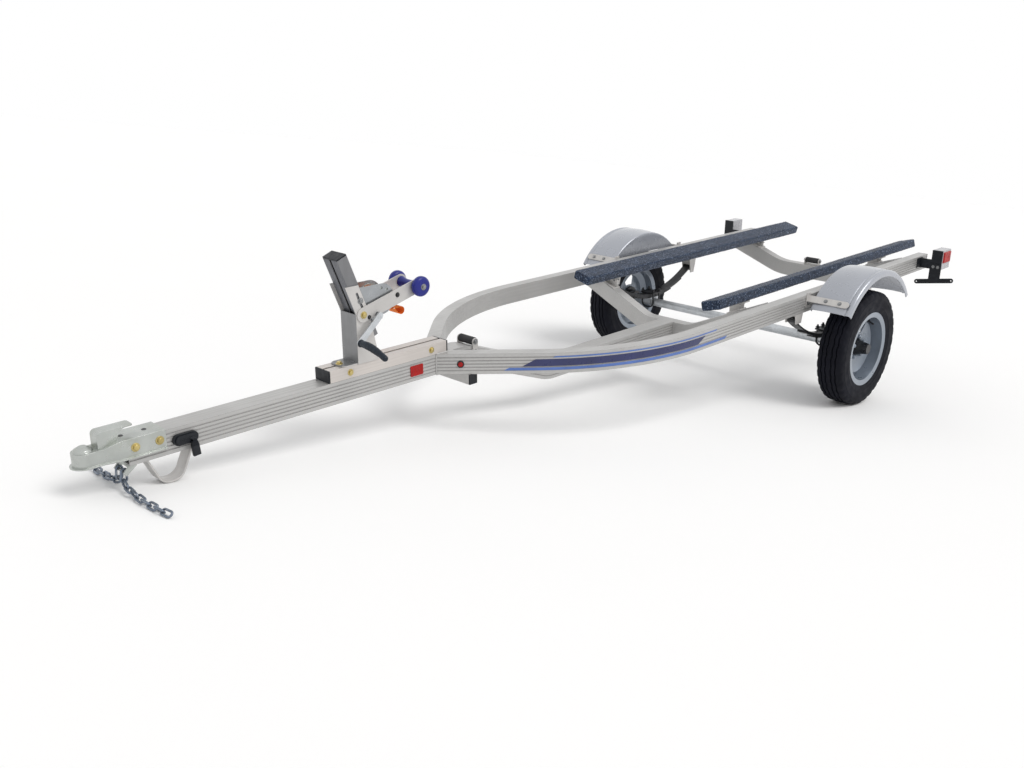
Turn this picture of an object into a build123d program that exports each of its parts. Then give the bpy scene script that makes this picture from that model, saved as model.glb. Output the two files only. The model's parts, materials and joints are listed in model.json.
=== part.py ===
from build123d import *
import os
from math import acos, asin, atan2, cos, degrees, hypot, pi, radians, sin, sqrt, tan

# A single personal-watercraft trailer, in millimetres.
# It is drawn level, with X forward from the axle, Y to its left and Z up from the ground
# under its wheels, and is then set down the way it parks: nose low, on its tongue foot.

# Wheels: 12-inch rims and narrow trailer tyres
TYRE_R = 265.0
TYRE_W = 128.0
TYRE_FACETS = 72
SHOULDER_DROP = 14.0
RIM_SEAT_R = 152.4
RIM_FLANGE_R = 170.0
RIM_W = 114.0
RIM_WALL = 4.0
WHEEL_Y = 661.0
DISC_INSET = 56.0
DISC_T = 6.0
DISC_WINDOWS = 5
WINDOW_IN_R = 66.0
WINDOW_OUT_R = 118.0
WINDOW_SPAN = 44.0
WINDOW_ROUND = 9.0
HUB_R = 40.0
HUB_LENGTH = 84.0
HUB_FLANGE_R = 70.0
HUB_FLANGE_T = 9.0
GREASE_CAP_R = 29.0
GREASE_CAP_LENGTH = 30.0

# Axle and leaf springs: the axle's height in this drawing, and the room over a spring's eye
AXLE_Z = 265.0
EYE_GAP = 11.5
AXLE_R = 21.0
SPINDLE_R = 16.0
RUNNING_GAP = 0.05
SEAT_T = 6.0
LEAF_T = 7.0
LEAF_W = 44.0
LEAF_REACHES = (340.0, 245.0, 150.0)
EYE_R = 15.0
EYE_PIN_R = 7.0
HANGER_WALL = 5.0
HANGER_LENGTH = 62.0
CLAMP_LENGTH = 76.0
CLAMP_W = 84.0
CLAMP_T = 7.0

# Frame tubes
TUBE = 76.0
TUBE_WALL = 4.0
RAIL_W = 51.0
GROOVES = 5
GROOVE_PITCH = 12.0
GROOVE_W = 4.0
GROOVE_DEPTH = 1.6
FRAME_Z = 495.0
TONGUE_FRONT_X = 3140.0
JOINT_X = 2009.0
RAIL_ANGLE = 43.0
RAIL_OUT_Y = 535.0
RAIL_BEND_R = 925.0
RAIL_REAR_X = -1000.0
DROP_START_X = 1860.0
DROP_ANGLE = 20.0
SPINE_Z = 332.0
TONGUE_BEND_R = 180.0
CAP_T = 6.0

# Cross-members: where each stands, how low its flat lies, where it bends and how round
FRONT_MEMBER = {"x": 545.0, "flat_z": 332.0, "corner_y": 125.0, "bend_r": 150.0}
REAR_MEMBER = {"x": -785.0, "flat_z": 387.0, "corner_y": 187.0, "bend_r": 300.0}
JOINT_TUBE = 38.0
JOINT_TUBE_X = 1911.0
JOINT_TUBE_HALF = 120.0

# Bunks and their brackets
BUNK_W = 94.0
BUNK_T = 44.0
BUNK_FRONT_X = 766.0
BUNK_REAR_X = -1161.0
BUNK_Y = 348.6
BUNK_TOP_Z = 562.0
BUNK_TILT = 14.8
BUNK_ROUND = 9.0
BRACKET_T = 6.0
BRACKET_W = 74.0
BRACKET_FLANGE = 46.0

# Keel rollers: place along the trailer and height of the axis
KEEL_ROLLER_R = 15.0
KEEL_PIN_R = 6.0
KEEL_EAR_T = 5.0
KEEL_EAR_W = 26.0
KEEL_FRONT = {"x": 1822.0, "axis_z": 541.0, "ear_z": 490.0}
KEEL_REAR_LIFT = 24.0
SIDE_GAP = 0.5

# Coupler for a 50 mm ball, with its latch
BALL_R = 25.4
BALL_GAP = 0.6
BALL_X = 3247.0
BALL_Z = 500.0
COUPLER_WALL = 5.0
COUPLER_REAR_X = 3029.0
COUPLER_LOW_Z = 481.0
COUPLER_NECK_X = 3205.0
COUPLER_NECK_Z = 524.0
COUPLER_SHOULDER_X = 3158.0
COUPLER_NOSE_R = 32.0
COUPLER_LIP = 7.0
COUPLER_LIP_T = 4.0
DOME_RISE = 38.0
TUBE_FIT = 0.3
LATCH_FRONT_X = 3214.0
LATCH_REAR_X = 3110.0
LATCH_W = 44.0
LATCH_T = 4.0
LATCH_Z = 571.0
LATCH_ROUND = 14.0
LATCH_HEEL = 24.0
LATCH_CORNER = 9.0

# Tongue foot: a flat bar bent into a loop
FOOT_X = 3015.0
FOOT_LOW_Z = 366.0
FOOT_BAR_W = 50.0
FOOT_BAR_T = 6.0
FOOT_BEND_R = 42.0
FOOT_TURN = 65.0
FOOT_FLAT = 4.0
FOOT_FLANGE = 30.0
FOOT_TOP_R = 10.0

# Safety chains
LINK_WIRE = 7.0
LINK_INSIDE = 32.0
LINK_W = 24.0
LINK_PLAY = 0.6
LINK_COUNT = 9
CHAIN_HEADING = 84.0
CHAIN_CURL = 2.0
CHAIN_PIN_R = 4.5
CHAIN_PIN_X = 3150.0
CHAIN_PIN_DROP = 21.0
CHAIN_SPACING = 30.0
CHAIN_EAR_T = 5.0
CHAIN_PLATE_L = 22.0

# Wiring plug and its holder on the tongue's left side
HOLDER_X = 2973.0
HOLDER_LENGTH = 78.0
HOLDER_H = 34.0
HOLDER_T = 16.0
PLUG_L = 44.0
PLUG_W = 24.0
PLUG_T = 13.0

# Slotted carriage tube on the tongue and slotted winch post
SLOT_TUBE_H = 41.0
SLOT_WALL = 3.5
SLOT_MOUTH = 11.0
SLOT_W = 24.0
SLOT_DEPTH = 12.0
CARRIAGE_FRONT_X = 2460.0
CARRIAGE_REAR_X = 1960.0
POST_TOP_X = 2391.0
POST_TOP_Z = 932.0
POST_LEAN = 21.6
POST_LENGTH = 300.0
STAND_T = 4.0
STAND_FRONT_X = 2350.0
STAND_REAR_X = 2262.0
STAND_SHOULDER_Z = 742.0
STAND_TOP_Z = 838.0
STAND_BASE_X = 2412.0
STAND_BASE_ROUND = 24.0
STAND_SLOT_W = 9.0
STAND_SLOT_L = 62.0
STAND_SLOT_Z = 785.0

# Bow stop: two arms that carry a roller of three rounds
ARM_H = 50.0
ARM_T = 4.0
ARM_ROOT_X = 2322.0
ARM_ROOT_Z = 737.0
BOW_X = 2092.0
BOW_Z = 797.0
BULB_R = 35.0
BULB_EDGE = 11.0
BULB_W = 31.0
BULB_BANDS = 5
WAIST_R = 19.0
BOW_PIN_R = 6.0

# Winch: drum and gear on one shaft, pinion and crank on another
DRUM_X = 2238.0
DRUM_Z = 774.0
DRUM_R = 20.0
MODULE = 2.15
GEAR_TEETH = 40
PINION_TEETH = 10
MESH_ANGLE = 31.0
GEAR_W = 6.0
FLANGE_T = 3.0
STRAP_R = 34.0
DRUM_HALF = 32.0
DRUM_PIN_R = 8.0
CRANK_PIN_R = 7.0
WINCH_PLATE_T = 3.0
WINCH_PLATE_R = 52.0
WINCH_HOLES = 5
WINCH_HOLE_R = 5.0
WINCH_HOLES_R = 37.0
CRANK_ARM_LENGTH = 115.0
CRANK_ARM_W = 22.0
CRANK_ARM_T = 6.0
CRANK_ANGLE = 222.0
CRANK_Y = 56.0
GRIP_R = 13.0
GRIP_BEND_Y = 104.0
GRIP_END_Y = 196.0
GRIP_DROOP = 27.0
GRIP_BEND_R = 90.0
SHAFT_GAP = 3.0

# Fenders and their straps
FENDER_R = 362.0
FENDER_IN_Y = 560.0
FENDER_OUT_Y = 748.0
FENDER_T = 3.5
FENDER_LIP = 24.0
FENDER_CROWN = 7.0
BEAD_R = 14.0
BEAD_RISE = 5.0
BEAD_TURN = 118.0
BEAD_BANDS = 4
BEAD_VALLEY = 5.5
FENDER_START = 36.0
SKIRT_Z = 526.0
STRAP_W = 32.0
STRAP_T = 5.0
STRAP_ANGLE = 43.0
STRAP_END_Y = 712.0

# Tail lamps, licence plate bracket and markers
LAMP_FRONT_X = -909.0
LAMP_LENGTH = 103.0
LAMP_IN_Y = 597.0
LAMP_OUT_Y = 651.0
LAMP_TOP_Z = 577.0
LAMP_LOW_Z = 478.0
LAMP_PLATE_T = 4.0
LAMP_ROUND = 4.0
LENS_T = 7.0
LENS_EDGE = 9.0
SIDE_LENS_H = 56.0
PLATE_BAR_L = 200.0
PLATE_BAR_H = 24.0
PLATE_HOLES = 178.0
PLATE_TILT = 10.0
PLATE_HOLE_R = 3.5
PLATE_STEM_W = 58.0
PLATE_STEM_TOP = 506.0
PLATE_BAR_Z = 418.0
PLATE_T = 4.0
MARKER_R = 13.0
MARKER_T = 6.0
MARKER_ALONG = 86.0
REFLECTOR_X = 2100.0
REFLECTOR_L = 56.0
REFLECTOR_H = 38.0
REFLECTOR_T = 4.0

# Places that follow from the sizes above
UP = Vector(0, 0, 1)
TUBE_TOP = FRAME_Z + TUBE / 2
TUBE_LOW = FRAME_Z - TUBE / 2
RAIL_Y = RAIL_OUT_Y - RAIL_W / 2
RAIL_IN_Y = RAIL_OUT_Y - RAIL_W
AXLE_LINE = Axis((0, 0, AXLE_Z), (0, 1, 0))
SPRING_LOW = AXLE_Z + AXLE_R + SEAT_T
SPRING_TOP = SPRING_LOW + LEAF_T * len(LEAF_REACHES)
LEAF_ARCH = TUBE_LOW - EYE_GAP - 2 * EYE_R + LEAF_T - SPRING_TOP
LEAF_MID_R = (LEAF_REACHES[0] ** 2 + LEAF_ARCH**2) / (2 * LEAF_ARCH)
LEAF_BEND_R = LEAF_MID_R + LEAF_T * (len(LEAF_REACHES) - 0.5)
CARRIAGE_TOP = TUBE_TOP + SLOT_TUBE_H
STAND_Y = TUBE / 2 + STAND_T
ARM_OUT_Y = STAND_Y + ARM_T
GEAR_R = MODULE * (GEAR_TEETH / 2 - 0.4)
PINION_R = MODULE * (PINION_TEETH / 2 - 0.4)
MESH = MODULE * (GEAR_TEETH + PINION_TEETH) / 2
CRANK_X = DRUM_X + MESH * sin(radians(MESH_ANGLE))
CRANK_Z = DRUM_Z - MESH * cos(radians(MESH_ANGLE))
SIDES = {"left": 1, "right": -1}


def section_plane(path):
    """The plane across a tube's path at its start, with its own Y as near upright as it goes."""
    tangent = path % 0
    return Plane(origin=path @ 0, x_dir=UP.cross(tangent), z_dir=tangent)


def upright(x, y, z, z_dir):
    """A plane through a point, facing z_dir."""
    return Plane(origin=(x, y, z), z_dir=z_dir)


def groove_edge(x, height, depth):
    """Corner points up one side of a tube, with V grooves sunk by depth."""
    points = [(x, -height / 2)]
    for index in range(GROOVES):
        middle = (index - (GROOVES - 1) / 2) * GROOVE_PITCH
        points.append((x, middle - GROOVE_W / 2))
        points.append((x - depth, middle))
        points.append((x, middle + GROOVE_W / 2))
    points.append((x, height / 2))
    return points


def ribbed_outline(width, height, both_sides):
    """Outline of a tube whose sides are grooved along its length."""
    near = groove_edge(-width / 2, height, -GROOVE_DEPTH)
    if both_sides:
        far = groove_edge(width / 2, height, GROOVE_DEPTH)
    else:
        far = [(width / 2, -height / 2), (width / 2, height / 2)]
    return near + far[::-1]


def mirrored(piece):
    """The right-hand twin of a left-hand piece."""
    with BuildPart() as twin:
        add(mirror(piece.part, about=Plane.XZ))
    return twin


def make_tongue():
    """The tongue: level from the coupler to the joint, then down to the front cross-member."""
    drop_end = DROP_START_X - (FRAME_Z - SPINE_Z) / tan(radians(DROP_ANGLE))
    rear = FRONT_MEMBER["x"] + RAIL_W / 2
    with BuildPart() as tongue:
        with BuildLine(Plane.XZ):
            run = FilletPolyline(
                (TONGUE_FRONT_X, FRAME_Z),
                (DROP_START_X, FRAME_Z),
                (drop_end, SPINE_Z),
                (rear, SPINE_Z),
                radius=TONGUE_BEND_R,
            )
        with BuildSketch(section_plane(run)):
            with BuildLine():
                Polyline(*ribbed_outline(TUBE, TUBE, True), close=True)
            make_face()
            Rectangle(TUBE - 2 * TUBE_WALL, TUBE - 2 * TUBE_WALL, mode=Mode.SUBTRACT)
        sweep()
    return tongue


def make_rail():
    """The left side rail: out from the tongue, round one long bend and straight back."""
    slope = radians(RAIL_ANGLE)
    start = Vector(JOINT_X - RAIL_W / 2 * sin(slope), TUBE / 2 - RAIL_W / 2 * cos(slope))
    ahead = (start.Y + RAIL_W) / sin(slope)
    corner = (RAIL_Y - start.Y) / sin(slope)
    with BuildPart() as rail:
        with BuildLine(Plane.XY.offset(FRAME_Z)):
            run = FilletPolyline(
                (start.X + ahead * cos(slope), start.Y - ahead * sin(slope)),
                (start.X - corner * cos(slope), RAIL_Y),
                (RAIL_REAR_X, RAIL_Y),
                radius=RAIL_BEND_R,
            )
        with BuildSketch(section_plane(run)):
            with BuildLine():
                Polyline(*ribbed_outline(RAIL_W, TUBE, False), close=True)
            make_face()
            Rectangle(RAIL_W - 2 * TUBE_WALL, TUBE - 2 * TUBE_WALL, mode=Mode.SUBTRACT)
        sweep()
        split(bisect_by=upright(0, TUBE / 2, 0, (0, 1, 0)), keep=Keep.TOP)
    return rail


def member_slope(member):
    """How steeply a cross-member's arms rise to the rails, in radians."""
    return atan2(FRAME_Z - member["flat_z"], RAIL_IN_Y - member["corner_y"])


def make_cross_member(member):
    """A bent tube that drops between the rails, cut off flush with their inner faces."""
    slope = member_slope(member)
    beyond = RAIL_IN_Y + RAIL_W
    end_z = FRAME_Z + RAIL_W * tan(slope)
    with BuildPart() as cross_member:
        with BuildLine(Plane.YZ.offset(member["x"])):
            run = FilletPolyline(
                (-beyond, end_z),
                (-member["corner_y"], member["flat_z"]),
                (member["corner_y"], member["flat_z"]),
                (beyond, end_z),
                radius=member["bend_r"],
            )
        with BuildSketch(section_plane(run)):
            Rectangle(RAIL_W, TUBE)
            Rectangle(RAIL_W - 2 * TUBE_WALL, TUBE - 2 * TUBE_WALL, mode=Mode.SUBTRACT)
        sweep()
        split(bisect_by=upright(0, RAIL_IN_Y, 0, (0, 1, 0)), keep=Keep.BOTTOM)
        split(bisect_by=upright(0, -RAIL_IN_Y, 0, (0, 1, 0)), keep=Keep.TOP)
    return cross_member


def make_joint_tube():
    """The short square tube that ties tongue and rails together from below."""
    with BuildPart() as joint_tube:
        with BuildSketch(Plane.XZ):
            with Locations((JOINT_TUBE_X, TUBE_LOW - JOINT_TUBE / 2)):
                Rectangle(JOINT_TUBE, JOINT_TUBE)
                Rectangle(JOINT_TUBE - 2 * TUBE_WALL, JOINT_TUBE - 2 * TUBE_WALL, mode=Mode.SUBTRACT)
        extrude(amount=JOINT_TUBE_HALF, both=True)
    return joint_tube


def make_end_caps():
    """Push-in caps on the joint tube's ends and the rails' rear ends."""
    inside = 2 * TUBE_WALL + 2 * TUBE_FIT
    joint_z = TUBE_LOW - JOINT_TUBE / 2
    with BuildPart() as caps:
        for sign in SIDES.values():
            end = upright(JOINT_TUBE_X, sign * JOINT_TUBE_HALF, joint_z, (0, sign, 0))
            with BuildSketch(end):
                Rectangle(JOINT_TUBE, JOINT_TUBE)
            extrude(amount=CAP_T)
            with BuildSketch(end):
                Rectangle(JOINT_TUBE - inside, JOINT_TUBE - inside)
            extrude(amount=-2 * CAP_T)
            with Locations((RAIL_REAR_X - CAP_T / 2, sign * RAIL_Y, FRAME_Z)):
                Box(CAP_T, RAIL_W, TUBE)
            with Locations((RAIL_REAR_X + CAP_T, sign * RAIL_Y, FRAME_Z)):
                Box(2 * CAP_T, RAIL_W - inside, TUBE - inside)
    return caps


def bunk_plane(x, depth):
    """A plane on the left bunk, depth below its top, facing up and in as the bunk does."""
    lean = radians(BUNK_TILT)
    normal = Vector(0, -sin(lean), cos(lean))
    top = Vector(x, BUNK_Y, BUNK_TOP_Z)
    return Plane(origin=top - normal * depth, x_dir=(1, 0, 0), z_dir=normal)


def make_bunk():
    """The left bunk: a carpeted plank, leaning in towards the hull."""
    length = BUNK_FRONT_X - BUNK_REAR_X
    with BuildPart() as bunk:
        with BuildSketch(bunk_plane((BUNK_FRONT_X + BUNK_REAR_X) / 2, BUNK_T)):
            Rectangle(length, BUNK_W)
        extrude(amount=BUNK_T)
        chamfer(bunk.edges().filter_by(Axis.X), BUNK_ROUND)
    return bunk


def make_bunk_brackets():
    """Four brackets: a flange on the cross-member, a web and a flange under the bunk."""
    lean = radians(BUNK_TILT)
    under = BUNK_TOP_Z - BUNK_T / cos(lean)
    half = BRACKET_W / 2
    with BuildPart() as brackets:
        for member in (FRONT_MEMBER, REAR_MEMBER):
            slope = member_slope(member)
            top_of_arm = FRAME_Z - (RAIL_IN_Y - BUNK_Y) * tan(slope) + TUBE / 2 / cos(slope)
            base = Plane(
                origin=(member["x"], BUNK_Y, top_of_arm),
                x_dir=(1, 0, 0),
                z_dir=(0, -sin(slope), cos(slope)),
            )
            with BuildSketch(base):
                Rectangle(BRACKET_FLANGE, BRACKET_W)
            extrude(amount=BRACKET_T)
            with BuildSketch(bunk_plane(member["x"], BUNK_T)):
                Rectangle(BRACKET_FLANGE, BRACKET_W)
            extrude(amount=-BRACKET_T)
            low_in = top_of_arm - half * cos(slope) * tan(slope)
            low_out = top_of_arm + half * cos(slope) * tan(slope)
            with BuildSketch(Plane.YZ.offset(member["x"])):
                with BuildLine():
                    Polyline(
                        (BUNK_Y - half * cos(slope), low_in + BRACKET_T / 2),
                        (BUNK_Y + half * cos(slope), low_out + BRACKET_T / 2),
                        (BUNK_Y + half * cos(lean), under + half * sin(lean) - BRACKET_T / 2),
                        (BUNK_Y - half * cos(lean), under - half * sin(lean) - BRACKET_T / 2),
                        close=True,
                    )
                make_face()
            extrude(amount=BRACKET_T / 2, both=True)
        mirror(about=Plane.XZ)
    return brackets


def make_axle():
    """The axle: a round tube with a spindle at each end and a seat under each spring."""
    spindle_end = WHEEL_Y + RIM_W / 2 - DISC_INSET + HUB_LENGTH / 3
    tube_end = spindle_end - HUB_LENGTH
    with BuildPart() as axle:
        with BuildSketch(Plane.XZ):
            with Locations((0, AXLE_Z)):
                Circle(AXLE_R)
        extrude(amount=tube_end, both=True)
        with BuildSketch(Plane.XZ):
            with Locations((0, AXLE_Z)):
                Circle(SPINDLE_R)
        extrude(amount=spindle_end, both=True)
        for sign in SIDES.values():
            with Locations((0, sign * RAIL_Y, AXLE_Z + (AXLE_R + SEAT_T) / 2)):
                Box(CLAMP_LENGTH, LEAF_W, AXLE_R + SEAT_T)
        for sign in SIDES.values():
            with BuildSketch(Plane.XZ.offset(-sign * RAIL_Y)):
                with Locations((0, SPRING_LOW + LEAF_BEND_R)):
                    Circle(LEAF_BEND_R)
            extrude(amount=LEAF_W, both=True, mode=Mode.SUBTRACT)
    return axle


def leaf_radius(count):
    """Radius of the underside of the leaf that is count leaves up from the seat."""
    return LEAF_BEND_R - count * LEAF_T


def make_spring():
    """The left leaf spring: leaves that shorten towards the axle, with an eye in front."""
    centre_z = SPRING_LOW + LEAF_BEND_R
    leaves = len(LEAF_REACHES)
    reach = LEAF_REACHES[0]
    main_r = leaf_radius(leaves) + LEAF_T / 2
    eye_r = main_r - EYE_R + LEAF_T / 2
    turn = asin(reach / main_r)
    eye = (eye_r * sin(turn), centre_z - eye_r * cos(turn))
    with BuildPart() as spring:
        for index, length in enumerate(LEAF_REACHES):
            under = leaf_radius(leaves - 1 - index)
            over = leaf_radius(leaves - index)
            swing = degrees(asin(length / under))
            with BuildSketch(Plane.XZ.offset(-RAIL_Y)):
                with BuildLine():
                    low = CenterArc((0, centre_z), under, 270 - swing, 2 * swing)
                    high = CenterArc((0, centre_z), over, 270 - swing, 2 * swing)
                    Line(low @ 0, high @ 0)
                    Line(low @ 1, high @ 1)
                make_face()
            extrude(amount=LEAF_W / 2, both=True)
        with BuildSketch(Plane.XZ.offset(-RAIL_Y)):
            with Locations(eye):
                Circle(EYE_R)
        extrude(amount=LEAF_W / 2, both=True)
        with BuildSketch(Plane.XZ.offset(-RAIL_Y)):
            with Locations(eye):
                Circle(EYE_PIN_R + RUNNING_GAP)
        extrude(amount=LEAF_W, both=True, mode=Mode.SUBTRACT)
    return spring, eye


def make_hangers(eye):
    """Spring hangers under the rails: pinned at the front eye, a slipper box at the rear."""
    cheek_y = LEAF_W / 2 + HANGER_WALL
    leaf_top = SPRING_LOW + LEAF_BEND_R
    tip_r = leaf_radius(len(LEAF_REACHES))
    tip = LEAF_REACHES[0] * tip_r / leaf_radius(len(LEAF_REACHES) - 1)
    tip_z = leaf_top - sqrt(tip_r**2 - tip**2)
    stations = (
        (eye[0], eye[1] - 2 * EYE_PIN_R, TUBE_LOW - HANGER_WALL),
        (-tip, tip_z - 3 * EYE_R, tip_z + TUBE_FIT),
    )
    with BuildPart() as hangers:
        for x, low, roof in stations:
            with BuildSketch(Plane.XZ.offset(-RAIL_Y)):
                with Locations((x, (low + TUBE_LOW) / 2)):
                    Trapezoid(HANGER_LENGTH, TUBE_LOW - low, 78, rotation=180)
            extrude(amount=cheek_y, both=True)
            with BuildSketch(Plane.XZ.offset(-RAIL_Y)):
                with Locations((x, (low + roof) / 2 - HANGER_WALL)):
                    Rectangle(2 * HANGER_LENGTH, roof - low + 2 * HANGER_WALL)
            extrude(amount=cheek_y - HANGER_WALL + TUBE_FIT, both=True, mode=Mode.SUBTRACT)
        with BuildSketch(Plane.XZ.offset(-RAIL_Y)):
            with Locations(eye, (-tip, tip_z - 2 * EYE_R)):
                Circle(EYE_PIN_R)
        extrude(amount=cheek_y, both=True)
        mirror(about=Plane.XZ)
    return hangers


def make_clamps():
    """Clamp plates that hold the springs down on their seats."""
    lift = LEAF_BEND_R - LEAF_T * len(LEAF_REACHES)
    rise = lift - sqrt(lift**2 - (CLAMP_LENGTH / 2) ** 2)
    with BuildPart() as clamps:
        for sign in SIDES.values():
            with Locations((0, sign * RAIL_Y, SPRING_TOP + rise + CLAMP_T / 2)):
                Box(CLAMP_LENGTH, CLAMP_W, CLAMP_T)
    return clamps


def wheel_plane():
    """The plane through the left wheel's axis: its X is the trailer's Y, its Y is outward."""
    return Plane(origin=(0, 0, AXLE_Z), x_dir=(0, 1, 0), z_dir=(1, 0, 0))


def make_tyre():
    """The left tyre: crown, shoulders and side walls down to the rim's seat, in flat facets."""
    crown = TYRE_W / 2 - SHOULDER_DROP
    step = 2 * pi / TYRE_FACETS
    round_rim = 1 / cos(step / 2)
    # Half the section, from the crown in to the rim's seat: (offset, radius)
    half = [
        (crown, TYRE_R),
        (crown + SHOULDER_DROP * 0.6, TYRE_R - SHOULDER_DROP * 0.5),
        (crown + SHOULDER_DROP * 0.9, TYRE_R - SHOULDER_DROP * 1.3),
        (TYRE_W / 2, (TYRE_R + RIM_FLANGE_R) / 2),
        (RIM_W / 2, RIM_FLANGE_R * round_rim),
        (RIM_W / 2 - RIM_WALL, RIM_SEAT_R * round_rim),
    ]
    section = half + [(-y, r) for y, r in half[::-1]]
    facets = []
    for k in range(TYRE_FACETS):
        near = (cos(k * step), sin(k * step))
        far = (cos((k + 1) * step), sin((k + 1) * step))
        for (y0, r0), (y1, r1) in zip(section, section[1:] + section[:1]):
            corners = ((near, y0, r0), (near, y1, r1), (far, y1, r1), (far, y0, r0))
            facets.append(
                Face(
                    Wire.make_polygon(
                        [(r * way[0], WHEEL_Y + y, AXLE_Z + r * way[1]) for way, y, r in corners]
                    )
                )
            )
    with BuildPart() as tyre:
        add(Solid(Shell(facets)))
    return tyre


def make_rim():
    """The left rim: a flanged barrel and an inset disc with windows between its spokes."""
    seat = RIM_W / 2 - RIM_WALL
    barrel_r = RIM_SEAT_R - RIM_WALL - 2
    disc_y = WHEEL_Y + RIM_W / 2 - DISC_INSET
    with BuildPart() as rim:
        with BuildSketch(wheel_plane()):
            with BuildLine():
                Polyline(
                    (WHEEL_Y + RIM_W / 2, RIM_FLANGE_R),
                    (WHEEL_Y + seat, RIM_SEAT_R),
                    (WHEEL_Y - seat, RIM_SEAT_R),
                    (WHEEL_Y - RIM_W / 2, RIM_FLANGE_R),
                    (WHEEL_Y - seat, barrel_r),
                    (WHEEL_Y + seat, barrel_r),
                    close=True,
                )
            make_face()
            with BuildLine():
                Polyline(
                    (disc_y, HUB_R),
                    (disc_y, HUB_FLANGE_R * 0.8),
                    (disc_y + 2 * DISC_T, WINDOW_OUT_R),
                    (disc_y - DISC_T, barrel_r + 1),
                    (disc_y - 2 * DISC_T, barrel_r + 1),
                    (disc_y + DISC_T, WINDOW_OUT_R),
                    (disc_y - DISC_T, HUB_FLANGE_R * 0.8),
                    (disc_y - DISC_T, HUB_R),
                    close=True,
                )
            make_face()
        revolve(axis=AXLE_LINE)
        with BuildSketch(upright(0, WHEEL_Y, AXLE_Z, (0, 1, 0))) as windows:
            with PolarLocations(0, DISC_WINDOWS):
                with BuildLine():
                    inner = CenterArc((0, 0), WINDOW_IN_R, -WINDOW_SPAN / 2, WINDOW_SPAN)
                    outer = CenterArc((0, 0), WINDOW_OUT_R, -WINDOW_SPAN / 2, WINDOW_SPAN)
                    Line(inner @ 0, outer @ 0)
                    Line(inner @ 1, outer @ 1)
                make_face()
            fillet(windows.vertices(), WINDOW_ROUND)
        extrude(amount=RIM_W, both=True, mode=Mode.SUBTRACT)
    return rim


def make_hub():
    """The left hub: bolting flange, barrel and grease cap, bored for the spindle."""
    face = WHEEL_Y + RIM_W / 2 - DISC_INSET
    outer = face + HUB_LENGTH / 3
    bore = SPINDLE_R + RUNNING_GAP
    with BuildPart() as hub:
        with BuildSketch(wheel_plane()):
            with BuildLine():
                Polyline(
                    (outer - HUB_LENGTH + 2, bore),
                    (outer + 2, bore),
                    (outer + 2, 0),
                    (outer + GREASE_CAP_LENGTH, 0),
                    (outer + GREASE_CAP_LENGTH, GREASE_CAP_R - 6),
                    (outer, GREASE_CAP_R),
                    (face, HUB_R - TUBE_FIT),
                    (face - DISC_T, HUB_R - TUBE_FIT),
                    (face - DISC_T, HUB_FLANGE_R * 0.8),
                    (face - DISC_T - HUB_FLANGE_T, HUB_FLANGE_R * 0.8),
                    (face - DISC_T - HUB_FLANGE_T, HUB_R),
                    (outer - HUB_LENGTH + 2, HUB_R),
                    close=True,
                )
            make_face()
        revolve(axis=AXLE_LINE)
    return hub


def make_fender():
    """The left fender: a crowned arc over the tyre with rolled lips and an inner skirt."""
    start = radians(180 - FENDER_START)
    across = Plane(
        origin=(0, 0, AXLE_Z), x_dir=(0, 1, 0), z_dir=(sin(start), 0, -cos(start))
    )
    middle = (FENDER_IN_Y + FENDER_OUT_Y) / 2
    edge = FENDER_R - FENDER_LIP
    # The rolled bead's outer and inner faces, each from the fender's side up and over
    outer = []
    inner = []
    for skin, radius in ((outer, BEAD_R), (inner, BEAD_R - FENDER_T)):
        for k in range(BEAD_BANDS + 1):
            turn = radians(BEAD_TURN) * k / BEAD_BANDS
            y = FENDER_OUT_Y - BEAD_R + radius * cos(turn)
            skin.append((y, FENDER_R + BEAD_RISE - BEAD_R + radius * sin(turn)))
    valley = outer[-1][0] - BEAD_VALLEY
    with BuildPart() as fender:
        with BuildSketch(across):
            with BuildLine():
                Polyline(
                    (FENDER_OUT_Y, edge),
                    *outer,
                    (valley, FENDER_R),
                    (middle, FENDER_R + FENDER_CROWN),
                    (FENDER_IN_Y, FENDER_R),
                    (FENDER_IN_Y, edge),
                    (FENDER_IN_Y + FENDER_T, edge),
                    (FENDER_IN_Y + FENDER_T, FENDER_R - FENDER_T),
                    (middle, FENDER_R + FENDER_CROWN - FENDER_T),
                    (valley, FENDER_R - FENDER_T),
                    *inner[::-1],
                    (FENDER_OUT_Y - FENDER_T, edge),
                    close=True,
                )
            make_face()
        revolve(axis=AXLE_LINE, revolution_arc=180 - 2 * FENDER_START)
        chord = degrees(asin((SKIRT_Z - AXLE_Z) / (FENDER_R - FENDER_T)))
        with BuildSketch(Plane.XZ.offset(-FENDER_IN_Y)):
            with BuildLine():
                arch = CenterArc((0, AXLE_Z), FENDER_R - FENDER_T, chord, 180 - 2 * chord)
                Line(arch @ 0, arch @ 1)
            make_face()
        extrude(amount=-FENDER_T)
    return fender


def make_fender_straps():
    """Flat straps from the rails' outer faces to the front and rear of each fender."""
    rise = radians(STRAP_ANGLE)
    seat_r = FENDER_R + FENDER_CROWN + TUBE_FIT
    with BuildPart() as straps:
        for end in (1, -1):
            facing = Vector(end * cos(rise), 0, sin(rise))
            foot = Vector(0, RAIL_OUT_Y, AXLE_Z) + facing * seat_r
            length = STRAP_END_Y - RAIL_OUT_Y
            flat = Plane(origin=foot, x_dir=(0, 1, 0), z_dir=facing)
            with BuildSketch(flat):
                with Locations((length / 2, 0)):
                    Rectangle(length, STRAP_W)
                with Locations((length, 0)):
                    Circle(STRAP_W / 2)
            extrude(amount=STRAP_T)
            tab_top = foot.Z + STRAP_W / 2 * cos(rise)
            with Locations((foot.X, RAIL_OUT_Y + STRAP_T / 2, (tab_top + FRAME_Z) / 2)):
                Box(STRAP_W, STRAP_T, tab_top - FRAME_Z + STRAP_W)
        mirror(about=Plane.XZ)
    return straps


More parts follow.
